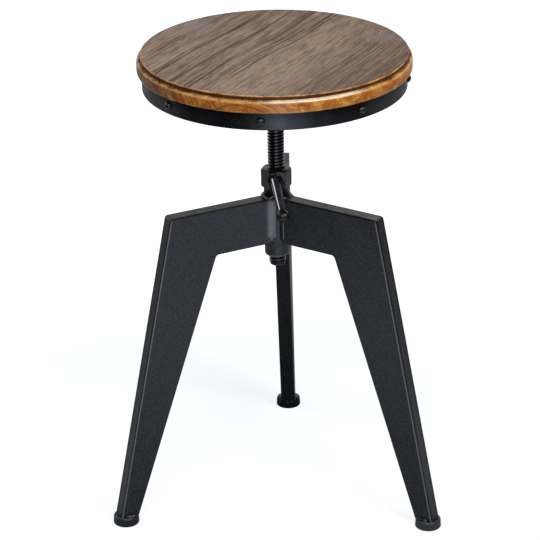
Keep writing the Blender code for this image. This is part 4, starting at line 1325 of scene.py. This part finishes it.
@dataclass
class Lock:
    """Hex lock nut with its welded lever and ball."""

    layout: Layout
    across_flats: float = 0.0320
    height: float = 0.0240
    face_inset: float = 0.0008
    chamfer: float = 30.0
    countersink: float = 0.0010
    corner_power: float = 70.0  # how sharp the hexagon's corners are
    corner_out: float = 0.1433  # how much farther out than the flats they are, as a share
    nut_edge: float = 0.00035
    turn: float = 9.0
    offset: float = -0.0031
    skew: float = 9.7
    rise: float = 0.0128
    drop: float = 45.0
    length: float = 0.0455
    root_radius: float = 0.0056
    tip_radius: float = 0.0047
    lever_edge: float = 0.0004
    weld: float = 0.0028
    weld_crown: float = 0.20
    ball_radius: float = 0.0080
    ball_flat: float = 0.0052
    spigot: Pair = (0.0025, 0.0060)  # radius, length
    lever_shadow: float = 0.9  # painted shadow of the lever on the welded flat
    lever_dark_half: float = 0.9  # painted dark reflection on its right half
    weld_darkening: float = 0.75

    def build(self) -> None:
        """Build and dress all pieces."""
        axis = self.layout.axis(self.turn - 90)
        add_piece("hex_nut", self.nut(), NUT, Body.LOCK, "lock_nut", axis, 50.0)
        add_piece("lever_rod", self.lever(), LEVER, Body.LOCK, "lock_lever", axis)
        add_piece("lever_bead", self.lever_weld(), WELD, Body.LOCK, "lever_weld", axis)
        tilt = Euler((0.0, -math.radians(90 - self.drop), math.radians(self.skew))).to_matrix().to_4x4()
        place = axis @ Matrix.Translation(self.root() + self.along() * self.length) @ tilt
        add_piece("lever_ball", self.ball(), BALL, Body.LOCK, "lock_ball", place)

    def bottom(self) -> float:
        """Level of the nut's lower face."""
        return self.layout.hub_top + self.layout.gap

    def hexagon(self, angle: float) -> float:
        """Radius of the hexagon with rubbed corners at an angle from the middle of a flat."""
        power = self.corner_power
        total = sum(max(0.0, math.cos(angle - math.pi / 3 * i)) ** power for i in range(6))
        return self.across_flats / 2 * total ** (-1 / power)

    def nut(self) -> Shape:
        """Hex nut with turned ends that cut arcs into its flats."""
        stations, between, flat_row, soft = 240, 8, 9, self.nut_edge
        low, high = self.bottom(), self.bottom() + self.height
        bore, sink, rest = self.layout.bore_radius, self.countersink, 0.0004
        face = self.across_flats / 2 - self.face_inset
        slope = math.tan(math.radians(self.chamfer))

        def end(level: float, sign: float, out: float) -> list[Spot]:
            """Spots of one end from its bore to its flats, at the radius of the hexagon."""
            drop = (out - face) * slope
            spots = (  # radius, distance from the end, wear
                (bore, sink + rest, 0.0), (bore, sink, 0.5), (bore + sink, 0.0, 0.6),
                (bore + sink + rest, 0.0, 0.0), (face - soft, 0.0, 0.2), (face, soft * 0.12, 1.0),
                (face + soft, soft * slope, 0.3), (out - soft * 0.8, drop - soft * 0.5, 0.3),
                (out - soft * 0.1, drop + soft * 0.1, 1.0), (out, drop + soft, 0.6),
                (out, drop + soft * 3, 0.0),
            )
            return [(radius, level - sign * depth, worn) for radius, depth, worn in spots]

        shape = new_shape()
        layer = shape.verts.layers.float[WEAR]
        columns = []
        for angle in turns(stations):
            out = self.hexagon(angle)
            corner = smooth(0.93, 1.0, (out / (self.across_flats / 2) - 1) / self.corner_out)
            upper, lower = end(high, 1.0, out), end(low, -1.0, out)[::-1]
            start, reach = upper[-1][1], lower[0][1] - upper[-1][1]
            flat = [(out, start + reach * k / between, 0.0) for k in range(1, between)]
            spots = upper + flat + lower
            column = []
            for k, (radius, level, worn) in enumerate(spots):
                vert = shape.verts.new(polar(radius, angle, level))
                on_flat = flat_row <= k < len(spots) - flat_row
                vert[layer] = max(worn, corner * 0.9 if on_flat else 0.0)
                column.append(vert)
            columns.append(column)
        for one, other in zip(columns, columns[1:] + columns[:1]):
            sew(shape, one, other)
        root, flat_at, half = self.root(), self.across_flats / 2 - 0.0004, self.across_flats * 0.27

        def shadowed(spot: Vector) -> float:
            """Painted shadow of the lever on the welded flat, most below and left of the lever."""
            if spot.x < flat_at or abs(spot.y) > half:
                return 0.0
            return self.lever_shadow * (1 - smooth(0.001, 0.007, spot.z - root.z + 0.6 * spot.y))

        return marked(shape, SHADE_AND_DIRT, shadowed)

    def root(self) -> Vector:
        """Where the lever's axis meets the nut, with that flat towards +X."""
        return Vector((self.across_flats / 2, self.offset, self.bottom() + self.rise))

    def along(self) -> Vector:
        """Direction of the lever."""
        drop = math.radians(self.drop)
        return polar(1.0, math.radians(self.skew)) * math.cos(drop) - Vector((0.0, 0.0, math.sin(drop)))

    def ways(self, sides: int) -> list[Vector]:
        """Directions all round the lever, square to it."""
        skew = math.radians(self.skew)
        across = Vector((-math.sin(skew), math.cos(skew), 0.0))
        square = self.along().cross(across)
        return [across * math.cos(angle) + square * math.sin(angle) for angle in turns(sides)]

    def flat_depth(self) -> float:
        """Distance from the ball's centre to the flat where the lever enters."""
        return math.sqrt(self.ball_radius**2 - self.ball_flat**2)

    def lever(self) -> Shape:
        """Tapering round lever, cut parallel to the nut's flat and stepped down into the ball."""
        stations, gap, edge = 14, self.layout.gap, self.lever_edge
        root, along, ways = self.root(), self.along(), self.ways(48)
        shoulder = self.length - self.flat_depth() - gap
        starts = [(gap - (way * self.root_radius).x) / along.x for way in ways]
        rings = []
        for share in (k / stations for k in range(stations + 1)):
            radius = self.root_radius + (self.tip_radius - self.root_radius) * share
            rings.append([
                root + way * radius + along * (start + (shoulder - edge - start) * share)
                for way, start in zip(ways, starts)
            ])
        thin, reach = self.spigot
        steps = ((self.tip_radius - edge, shoulder), (thin, shoulder), (thin, shoulder + reach))
        rings += [[root + way * radius + along * level for way in ways] for radius, level in steps]
        worn = [0.0] * (stations + 1) + [0.8, 0.0, 0.0]

        def oiled(spot: Vector) -> float:
            """Painted dark reflection on the lever's right half."""
            away = spot - root
            return self.lever_dark_half * smooth(0.0, 0.4, (away - along * away.dot(along)).y / self.root_radius)

        return marked(loft(rings, worn), SHADE_AND_DIRT, oiled)

    def lever_weld(self) -> Shape:
        """Lumpy fillet weld all round the lever's root."""
        sides, gap = 72, self.layout.gap
        root, along = self.root(), self.along()
        rings = []
        for angle, way in zip(turns(sides), self.ways(sides)):
            out = way * (self.root_radius + gap)
            foot = root + out + along * ((gap - out.x) / along.x)
            spread = Vector((0.0, foot.y - root.y, foot.z - root.z)).normalized()
            lump = noise.noise(polar(1.5, angle, 2.0)) + 0.7 * noise.noise(polar(4.2, angle, 5.0))
            size = self.weld * (1.0 + 0.35 * lump)
            up, middle = foot + along * size, foot + along * size * 0.5
            rings.append(bead(foot, foot + spread * size * 1.05, up, middle, self.weld_crown))
        # Darkens the whole weld and takes its gloss away
        return marked(loft(rings, closed=True), SHADE_AND_DIRT, lambda spot: self.weld_darkening)

    def ball(self) -> Shape:
        """Turned ball with a flat and a blind hole for the lever's spigot."""
        radius, flat, gap, steps = self.ball_radius, self.flat_depth(), self.layout.gap, 22
        hole, bottom = self.spigot[0] + gap, flat - self.spigot[1] - gap
        sweep = math.atan2(flat, self.ball_flat) + math.pi / 2
        profile = [(0.0, -radius, 0.0)]
        for k in range(1, steps + 1):
            angle = -math.pi / 2 + sweep * k / steps
            profile.append((radius * math.cos(angle), radius * math.sin(angle), 0.9 if k == steps else 0.0))
        profile += [(self.ball_flat - 0.0005, flat, 0.2), (hole, flat, 0.0)]
        return revolve(profile + [(hole, bottom, 0.0), (0.0, bottom, 0.0)], 56)


@dataclass
class Stand:
    """Hub, bent box legs, feet and their welds."""

    layout: Layout
    hub_chamfer: float = 0.0006
    hub_edge: float = 0.0003
    hub_shade: Spot = (0.8, -0.001, 0.003)  # painted shade on the hub, and how far over the arms it starts and is full
    skirt_round: float = 0.00264
    leg_edge: float = 0.0012
    elbow_outer: float = 0.1419
    elbow_inner: float = 0.0845
    elbow_outer_radius: float = 0.0040
    elbow_inner_radius: float = 0.0050
    bend_steps: int = 6
    tip_width: float = 0.0235
    tip_centre: float = 0.2095
    tip_height: float = 0.0107
    foot_circle: float = 0.2114
    foot_radius: float = 0.01575
    foot_height: float = 0.0104
    foot_floor: float = 0.0070
    foot_rim: float = 0.0024
    foot_lip: float = 0.001372
    foot_draft: float = 0.0006
    foot_round: float = 0.0014
    weld_wide: float = 0.0068
    weld_narrow: float = 0.0036
    weld_top: float = 0.0042
    weld_margin: float = 0.0040
    crown: float = 0.12  # bulge of a round bead
    flat: float = 0.03  # bulge of a ground one
    side_ripple: float = 0.035  # how uneven the beads are
    top_ripple: float = 0.06
    foot_weld: Spot = (0.0036, 0.0125, 0.16)  # size, length, bulge
    foot_ripple: Pair = (0.10, 0.0035)  # its share and wave
    rear_tip_shade: float = 0.50  # painted shade at the rear leg's tip

    def build(self) -> None:
        """Build and dress all pieces."""
        self.add_hub()
        for leg in Leg:
            name, axis, seed = leg.name.lower(), self.layout.axis(leg.value), leg.value / 10
            # Painted light on the right leg's top and its foot; painted shade on the rear foot and the rear
            # leg's tip
            coat = LEG_LIT_TOP if leg is Leg.RIGHT else LEG
            cap = {Leg.RIGHT: FOOT_LIT, Leg.REAR: FOOT_SHADED}.get(leg, FOOT)
            shape = self.leg(self.rear_tip_shade if leg is Leg.REAR else 0.0)
            add_piece(f"box_leg_{name}", shape, coat, Body.FRAME, f"leg_{name}", axis)
            weld = self.hub_weld(seed)
            add_piece(f"arm_bead_{name}", weld, WELD, Body.FRAME, f"hub_weld_{name}", axis, 60.0)
            for letter, sign in (("a", 1), ("b", -1)):
                piece, node = f"foot_bead_{letter}_{name}", f"foot_weld_{letter}_{name}"
                add_piece(piece, self.foot_bead(sign, seed), WELD, Body.FRAME, node, axis, 60.0)
            foot = axis @ Matrix.Translation((self.foot_circle, 0.0, 0.0))
            add_piece(f"foot_plate_{name}", self.foot_plate(), LEG, Body.FRAME, f"foot_disc_{name}", foot)
            add_piece(f"foot_cup_{name}", self.foot_cup(), cap, Body.FRAME, f"foot_cap_{name}", foot)

    def add_hub(self) -> None:
        """Hub tube; its threaded bushes stay as they are."""
        inner, outer, edge = self.layout.hub_inner, self.layout.hub_radius, self.hub_edge
        low, high = self.layout.hub_bottom, self.layout.hub_top
        shade_and_dirt, unmarked, full_shade = self.hub_shade[0], *(self.layout.arm_top + rise for rise in self.hub_shade[1:])
        corners = [
            (inner, high, edge), (inner, low, edge), (outer, low, self.skirt_round),
            (outer, unmarked, 0.0), (outer, full_shade, 0.0), (outer, high, self.hub_chamfer),
        ]
        shape = revolve(softened(corners, closed=True, steps=6), 96)
        # Painted shade on the hub's neck above the arms, under the nut
        marked(shape, SHADE_AND_DIRT, lambda spot: shade_and_dirt * smooth(unmarked, full_shade, spot.z))
        add_piece("hub_sleeve", shape, LEG, Body.FRAME, "hub_tube", self.layout.axis())
        for name in ("hub_bush_lower", "hub_bush_upper"):
            dress_node(name, BUSH)

    def outline(self, inset: float, side: float) -> list[Pair]:
        """Outline of a leg in its own upright plane.

        Args:
            inset: how far its long sides lie inside the leg's own outline.
            side: distance from the leg's middle plane, which sets where it meets the hub.

        Returns:
            (across, up) points with rounded bends.
        """
        root = math.sqrt((self.layout.hub_radius + self.layout.gap) ** 2 - side**2)
        top, low, tip = self.layout.arm_top, self.layout.arm_bottom, self.tip_height
        half = self.tip_width / 2
        corners = [
            (root, top), (self.elbow_outer, top), (self.tip_centre + half, tip),
            (self.tip_centre - half, tip), (self.elbow_inner, low), (root, low),
        ]
        sides = []
        for i, distance in enumerate((inset, inset, 0.0, inset, inset, 0.0)):
            start, end = Vector(corners[i]), Vector(corners[(i + 1) % 6])
            along = (end - start).normalized()
            sides.append((start + Vector((along.y, -along.x)) * distance, along))
        radii = (0.0, self.elbow_outer_radius - inset, 0.0, 0.0, self.elbow_inner_radius + inset, 0.0)
        points = []
        for i, radius in enumerate(radii):
            (p, u), (q, v) = sides[i - 1], sides[i]
            points.append((*(p + u * ((q - p).cross(v) / u.cross(v))), radius))
        spots = softened(points, closed=True, steps=self.bend_steps, fade=NO_FADE)
        return [spot[:2] for spot in spots]

    def leg(self, tip_shade: float) -> Shape:
        """Bent box leg with rounded long edges, coped round the hub.

        Args:
            tip_shade: painted shade at the leg's lower end, which fades out up to the elbow.

        Returns:
            The leg's shape.
        """
        half, edge, fade = self.layout.leg_side, self.leg_edge, 0.0004
        unmarked = (0.0, 0.0, 0.0)
        # inset, side, then along the leg's edge its wear with a painted highlight and its painted shade, and
        # the painted shade along the arm's top edge
        rows = [(edge + fade * 2, half, *unmarked), (edge + fade, half, 1.0, 0.0, 0.0)]
        edge_marks = ((1.0, 0.0, 0.6), (1.0, 0.0, 0.8), (0.7, 0.1, 0.8), (0.1, 0.6, 0.8), (0.0, 0.65, 0.8))
        for k, mark in enumerate(edge_marks):
            angle = math.pi / 2 * k / 4
            rows.append((edge * (1 - math.sin(angle)), half - edge * (1 - math.cos(angle)), *mark))
        rows += [(0.0, half - edge * 2.5, 0.0, 0.55, 0.3), (0.0, half - edge * 4, *unmarked)]
        rows += [(0.0, half * 0.25, *unmarked)]
        rows += [(0.0, 0.0, *unmarked)] + [(inset, -side, *mark) for inset, side, *mark in reversed(rows)]
        rings = [[Vector((x, side, z)) for x, z in self.outline(inset, side)] for inset, side, *_ in rows]
        shape = loft(rings)
        worn, shade_and_dirt = shape.verts.layers.float[WEAR], shape.verts.layers.float.new(SHADE_AND_DIRT)
        count, bend = len(rings[0]), self.bend_steps
        for index, vert in enumerate(shape.verts):
            row, spot = divmod(index, count)
            wear, edge_shade, arm_edge_shade = rows[row][2:]
            down = min(1.0, max(0.0, (spot - 1) / bend))  # 0 on the arm, 1 on the leg below the elbow
            outside = 1.0 if spot <= bend + 2 else 0.0
            # Outer edges below the elbow: wear with a painted highlight and painted shade beside it; on the
            # arm, painted shade along its top edge
            vert[worn] = wear * down * outside
            blackening = (edge_shade * down + arm_edge_shade * (1 - down)) * outside
            # Painted shade at the leg's tip
            vert[shade_and_dirt] = max(blackening, tip_shade) if vert.co.z < self.tip_height + edge else blackening
        return shape

    def hub_weld(self, seed: float) -> Shape:
        """Fillet weld of one arm: up one side, over the top and down the other side.

        Args:
            seed: what sets its ripples apart from those of the other arms.

        Returns:
            The weld's shape.
        """
        gap = self.layout.gap
        wide, top = self.layout.leg_side + gap, self.layout.arm_top + gap
        low, hub = self.layout.arm_bottom + self.weld_margin, self.layout.hub_radius + gap
        edge = math.asin(wide / hub)
        beads = {1: (self.weld_wide, self.flat), -1: (self.weld_narrow, self.crown)}  # width, bulge
        thin_rows, rows, swing_rows, top_rows = 4, 34, 6, 7  # the last is for half of the top

        def section(
            sign: int, angle: float, height: float, size: float, swing: float, bulge: float,
        ) -> list[Vector]:
            """Section at an angle and height on the hub, with its toe there swung up from the side."""
            root = polar(hub, sign * angle, height)
            turn, lift = size * math.cos(swing) / hub, size * math.sin(swing)
            toe, middle = (
                polar(hub, sign * (angle + turn * share), height + lift * share) for share in (1.0, 0.5)
            )
            return bead(root, root + Vector((size, 0.0, 0.0)), toe, middle, bulge)

        def side(sign: int, height: float, share: float) -> list[Vector]:
            """Section at a height on one side."""
            width, bulge = beads[sign]
            size = width * share * (1 + self.side_ripple * ripple(height, seed + sign))
            return section(sign, edge, height, size, 0.0, bulge)

        def corner(sign: int, share: float) -> list[Vector]:
            """Section that swings from the arm's side, at share 0, to its top."""
            width, bulge = beads[sign]
            size = width + (self.weld_top - width) * share
            angle, height = edge * (1 - 0.12 * share), top - gap * (1 - share)
            return section(sign, angle, height, size, math.radians(90 * share), bulge)

        def over(angle: float) -> list[Vector]:
            """Section on top of the arm."""
            size = self.weld_top * (1 + self.top_ripple * ripple(angle * hub, seed + 5))
            return section(1, angle, top, size, math.pi / 2, self.crown)

        def climb(sign: int) -> list[list[Vector]]:
            """Sections up one side, from the bead's thin start."""
            width = beads[sign][0]
            start, end = low + width * 0.9, top - width / 2
            sections = []
            for k in range(thin_rows):
                share = 0.25 + 0.75 * smooth(0, thin_rows, k)
                sections.append(side(sign, low + (start - low) * k / thin_rows, share))
            return sections + [side(sign, start + (end - start) * k / rows, 1.0) for k in range(rows + 1)]

        swings = [k / swing_rows for k in range(1, swing_rows + 1)]
        rings = climb(1) + [corner(1, share) for share in swings]
        rings += [over(edge * k / 10) for k in range(top_rows, -top_rows - 1, -1)]
        rings += [corner(-1, share) for share in reversed(swings)] + climb(-1)[::-1]
        shape = loft(rings)
        face, shade_and_dirt = shape.verts.layers.float.new(FACE), shape.verts.layers.float.new(SHADE_AND_DIRT)
        count, flat_face = len(rings[0]), len(climb(1))
        for index, vert in enumerate(shape.verts):
            row, spot = divmod(index, count)
            share = min(1.0, max(0.0, (spot - 1) / (count - 3)))  # 0 at the toe on the arm, 1 on the hub
            rim, toe = smooth(0.85, 1.0, share), abs(share * 2 - 1)  # toe: 0 in the middle, 1 at both toes
            # Flat side: painted reflection, with painted shade at the hub's toe. Over the top: painted
            # shade, darker towards the toes. Narrow side: painted highlights at both toes, painted shade
            # between them.
            if row < flat_face:
                vert[face] = smooth(0.0, 0.4, share) * (1 - 0.35 * smooth(0.5, 0.8, share)) * (1 - rim)
                vert[shade_and_dirt] = 0.8 * rim
            elif row < len(rings) - flat_face:
                vert[shade_and_dirt] = 0.35 + 0.5 * smooth(0.55, 1.0, toe)
            else:
                vert[face] = 0.8 * smooth(0.55, 1.0, toe)
                vert[shade_and_dirt] = 0.75 * (1 - smooth(0.35, 0.8, toe))
        return shape

    def foot_bead(self, sign: int, seed: float) -> Shape:
        """Short uneven weld between one broad face of a leg and its foot plate.

        Args:
            sign: which of the two faces.
            seed: what sets it apart from the other welds.

        Returns:
            The weld's shape.
        """
        (full, length, bulge), (uneven, wave), stations = self.foot_weld, self.foot_ripple, 24
        face = sign * (self.layout.leg_side + self.layout.gap)
        rings = []
        for k in range(stations + 1):
            place = k / stations - 0.5
            lump = uneven * ripple(place * length, seed + sign, wave)
            size = full * (0.35 + 0.65 * math.sqrt(max(0.0, 1 - (2 * place) ** 4))) * (0.95 + lump)
            root = Vector((self.tip_centre + length * place, face, self.tip_height))
            out, up = Vector((0.0, sign * size, 0.0)), Vector((0.0, 0.0, size))
            rings.append(bead(root, root + out, root + up, root + up / 2, bulge))
        return loft(rings)

    def foot_plate(self) -> Shape:
        """Steel disc in the cup of a foot."""
        radius = self.foot_radius - self.foot_rim - self.layout.gap
        low, high = self.foot_floor + self.layout.gap, self.foot_height
        corners = [(0.0, low, 0.0), (radius, low, 0.0003), (radius, high, 0.0005), (0.0, high, 0.0)]
        return revolve(softened(corners, steps=3), 64)

    def foot_cup(self) -> Shape:
        """Moulded cap with a rounded sole and a rounded rim."""
        outer, height, floor = self.foot_radius, self.foot_height, self.foot_floor
        rim = outer - self.foot_rim
        corners = [
            (0.0, 0.0, 0.0), (outer, 0.0, self.foot_round), (outer - self.foot_draft, height, self.foot_lip),
            (rim, height, 0.0003), (rim, floor, 0.0), (0.0, floor, 0.0),
        ]
        return revolve(softened(corners, steps=5, fade=0.0006), 72)


@dataclass(frozen=True)
class Lamp:
    """Soft light panel: place, point it looks at, width, height and power."""

    name: str
    place: Spot
    target: Spot
    size: Pair
    power: float

    def build(self) -> None:
        """Hang the panel."""
        light = bpy.data.lights.new(self.name, "AREA")
        light.shape = "RECTANGLE"
        light.size, light.size_y = self.size
        light.energy = self.power
        lamp = bpy.data.objects.new(self.name, light)
        lamp.location = self.place
        lamp.rotation_euler = (Vector(self.target) - Vector(self.place)).to_track_quat("-Z", "Y").to_euler()
        lamp.visible_camera = False
        bpy.context.scene.collection.objects.link(lamp)


@dataclass
class Studio:
    """Pale floor, soft light and the photograph's camera."""

    floor_reach: float = 7.0
    floor_steps: int = 24
    # Cool white paper under the set: left and right end in front, and the softness of its edges
    paper: Spot = (-0.65, 0.90, 0.30)
    paper_white: Colour = (0.36, 0.39, 0.43)
    paper_glow: float = 0.75  # what the camera sees of the paper near the stool, beside its own light
    glow_reach: Pair = (0.35, 0.85)  # where that rises to plain white
    gloss_reach: Pair = (0.08, 0.58)  # where the coats' gloss begins to show the paper
    paper_back: float = 0.11  # how white the floor is beside and behind the paper, in the coats' gloss
    floor_back: float = 0.8  # and how pale it is there
    back_depths: Pair = (-0.45, 0.0)  # where it becomes so
    paper_gloss: float = 0.58  # how white the paper in front is in the coats' gloss
    paper_far: float = 0.16  # how white it stays behind the stool
    far_depths: Pair = (-0.20, 0.15)
    paper_ahead: float = 3.4  # how much whiter it is towards the camera
    ahead_depths: Pair = (-0.95, -1.25)
    paper_skew: float = 0.50  # how far its left end comes in there, and half as far its right end
    left_depths: Pair = (-0.50, -0.95)
    right_depths: Pair = (-0.85, -1.25)
    cool: Colour = (0.80, 0.95, 1.20)  # tint of the paper in the coats' gloss, in front and behind
    warm: Colour = (1.02, 0.99, 0.95)
    tint_depths: Pair = (-0.35, 0.15)
    white: Colour = (1.0, 1.0, 1.0)
    dark: Colour = (0.03, 0.03, 0.03)  # floor of the room
    under_shade: float = 0.60  # painted shade of the floor under the stool, seen only in the coats' gloss
    ambient: float = 0.22
    ceiling: float = 0.06  # light of the dark ceiling over the white backdrop
    ceiling_heights: Pair = (0.62, 0.30)
    front: float = 0.04  # light of the room in front of the set
    front_depths: Pair = (0.35, 0.80)
    lamps: tuple[Lamp, ...] = (
        Lamp("key_panel", (1.75, -1.60, 2.0), (0.0, 0.0, 0.42), (1.4, 0.9), 38.0),
        Lamp("front_panel", (-0.35, -2.3, 1.7), (0.0, 0.0, 0.40), (1.1, 0.8), 19.0),
        Lamp("top_panel", (0.15, -0.75, 2.4), (0.0, 0.0, 0.5), (1.2, 0.6), 12.0),
        Lamp("left_panel", (-1.7, 0.05, 1.30), (0.0, -0.05, 0.38), (1.7, 0.9), 9.5),
        Lamp("right_panel", (1.7, 0.10, 1.30), (0.0, -0.05, 0.38), (0.5, 0.8), 1.0),
    )
    lens: float = 156.387
    sensor: float = 36.0
    clip: Pair = (0.05, 60.0)
    camera_rows: tuple[tuple[float, float, float, float], ...] = (
        (0.998533, -0.006983, 0.053692, 0.142462),
        (0.051879, 0.407193, -0.911867, -2.610459),
        (-0.015495, 0.913315, 0.406958, 1.439384),
        (0.0, 0.0, 0.0, 1.0),
    )

    def build(self) -> None:
        """Set up the floor, the world, the lamps, the camera and the plain view."""
        self.add_floor()
        self.add_world()
        for lamp in self.lamps:
            lamp.build()
        self.add_camera()
        bpy.context.scene.view_settings.view_transform = "Standard"

    @staticmethod
    def seen(graph: Graph, plain: Wire | float, mirrored: Wire) -> Wire:
        """Strength of a white ground.

        Args:
            graph: the graph to add nodes to.
            plain: strength for the camera and through glass.
            mirrored: strength in the coats' gloss.

        Returns:
            The strength, which is 0 on other rays.
        """
        path = graph.outputs("LightPath")
        direct = path["Is Camera Ray"].most(path["Is Transmission Ray"])
        return (direct * plain).most(path["Is Glossy Ray"] * mirrored)

    def add_floor(self) -> None:
        """White floor that keeps the stool's shadow."""
        shape, steps = bmesh.new(), self.floor_steps
        bmesh.ops.create_grid(shape, x_segments=steps, y_segments=steps, size=self.floor_reach)
        mesh = mesh_of(shape, "studio_floor")
        floor = bpy.data.objects.new("studio_floor", mesh)
        mesh.materials.append(self.floor_material())
        bpy.context.scene.collection.objects.link(floor)

    def floor_material(self) -> bpy.types.Material:
        """Paper that is white for the camera, and a strip of light in the coats' gloss, with painted shade
        under the stool there.
        """
        material = bpy.data.materials.new("studio_white")
        material.use_nodes = True
        nodes = material.node_tree.nodes
        graph, shader = Graph(material.node_tree), nodes["Principled BSDF"]
        place = graph.place()
        across, depth, _ = place.split()
        away = graph.add("VectorMath", {0: place}, "Value", operation="LENGTH")
        gloss = graph.add("LightPath", output="Is Glossy Ray")
        low, high, soft = self.paper
        left = across + depth.step(*self.left_depths, 0.0, -self.paper_skew)
        right = across + depth.step(*self.right_depths, 0.0, self.paper_skew / 2)
        strip = left.step(low - soft, low + soft) * right.step(high + soft, high - soft)
        paper = strip.most(depth.step(*self.back_depths, 0.0, self.floor_back))
        far = depth.step(*self.far_depths, self.paper_gloss, self.paper_far)
        ahead = depth.step(*self.ahead_depths, 1.0, self.paper_ahead)
        mirrored = (strip * far * ahead).most(depth.step(*self.back_depths, 0.0, self.paper_back))
        bright = away.step(*self.gloss_reach)
        clouds = place.noise(5.0, 3.0).step(0.3, 0.7, 0.95, 1.0)
        tone = graph.mix(paper * clouds, self.dark, self.paper_white)
        # Painted shade under the stool, in the coats' gloss only
        tone = tone.under((gloss * (1.0 - bright) * self.under_shade, self.dark))
        glow = away.step(*self.glow_reach).step(0.0, 1.0, self.paper_glow, 1.0)
        tint = graph.mix(gloss, self.white, graph.mix(depth.step(*self.tint_depths), self.cool, self.warm))
        strength = self.seen(graph, glow, mirrored * bright)
        light = graph.add("Emission", {"Color": tint, "Strength": strength})
        graph.feed(shader, {"Base Color": tone, "Roughness": 0.9, "Specular IOR Level": 0.0})
        both = graph.add("AddShader", {0: Wire(graph, shader.outputs[0]), 1: light})
        graph.feed(nodes["Material Output"], {"Surface": both})
        return material

    def add_world(self) -> None:
        """White backdrop with a softer light of its own."""
        world = bpy.data.worlds.new("studio_world")
        bpy.context.scene.world = world
        world.use_nodes = True
        graph = Graph(world.node_tree)
        _, depth, height = graph.add("TexCoord", output="Generated").split()
        backdrop = height.step(*self.ceiling_heights, self.ceiling, 1.0)
        backdrop = backdrop * depth.step(*self.front_depths, self.front, 1.0)
        soft = graph.add("LightPath", output="Is Diffuse Ray") * self.ambient
        strength = self.seen(graph, 1.0, backdrop).most(soft)
        graph.feed(world.node_tree.nodes["Background"], {"Color": self.white, "Strength": strength})

    def add_camera(self) -> None:
        """Camera where the photograph's camera stood."""
        data = bpy.data.cameras.new("photo_camera")
        data.lens, data.sensor_width = self.lens, self.sensor
        data.clip_start, data.clip_end = self.clip
        camera = bpy.data.objects.new("photo_camera", data)
        camera.matrix_world = Matrix(self.camera_rows)
        bpy.context.scene.collection.objects.link(camera)
        bpy.context.scene.camera = camera


def plain(box: Sequence) -> list[list[float]]:
    """A box as plain lists of numbers."""
    return [[float(value) for value in corner] for corner in box]


def main() -> None:
    """Build the dressed stool in its studio."""
    logging.basicConfig(level=logging.INFO, format="%(name)s: %(message)s")
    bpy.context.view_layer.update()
    layout = Layout()
    for part in (Studio(), Stand(layout), Spindle(layout), Lock(layout), Seat(layout)):
        log.info("building %s", type(part).__name__)
        part.build()
    bpy.context.view_layer.update()


if __name__ == "__main__":
    main()
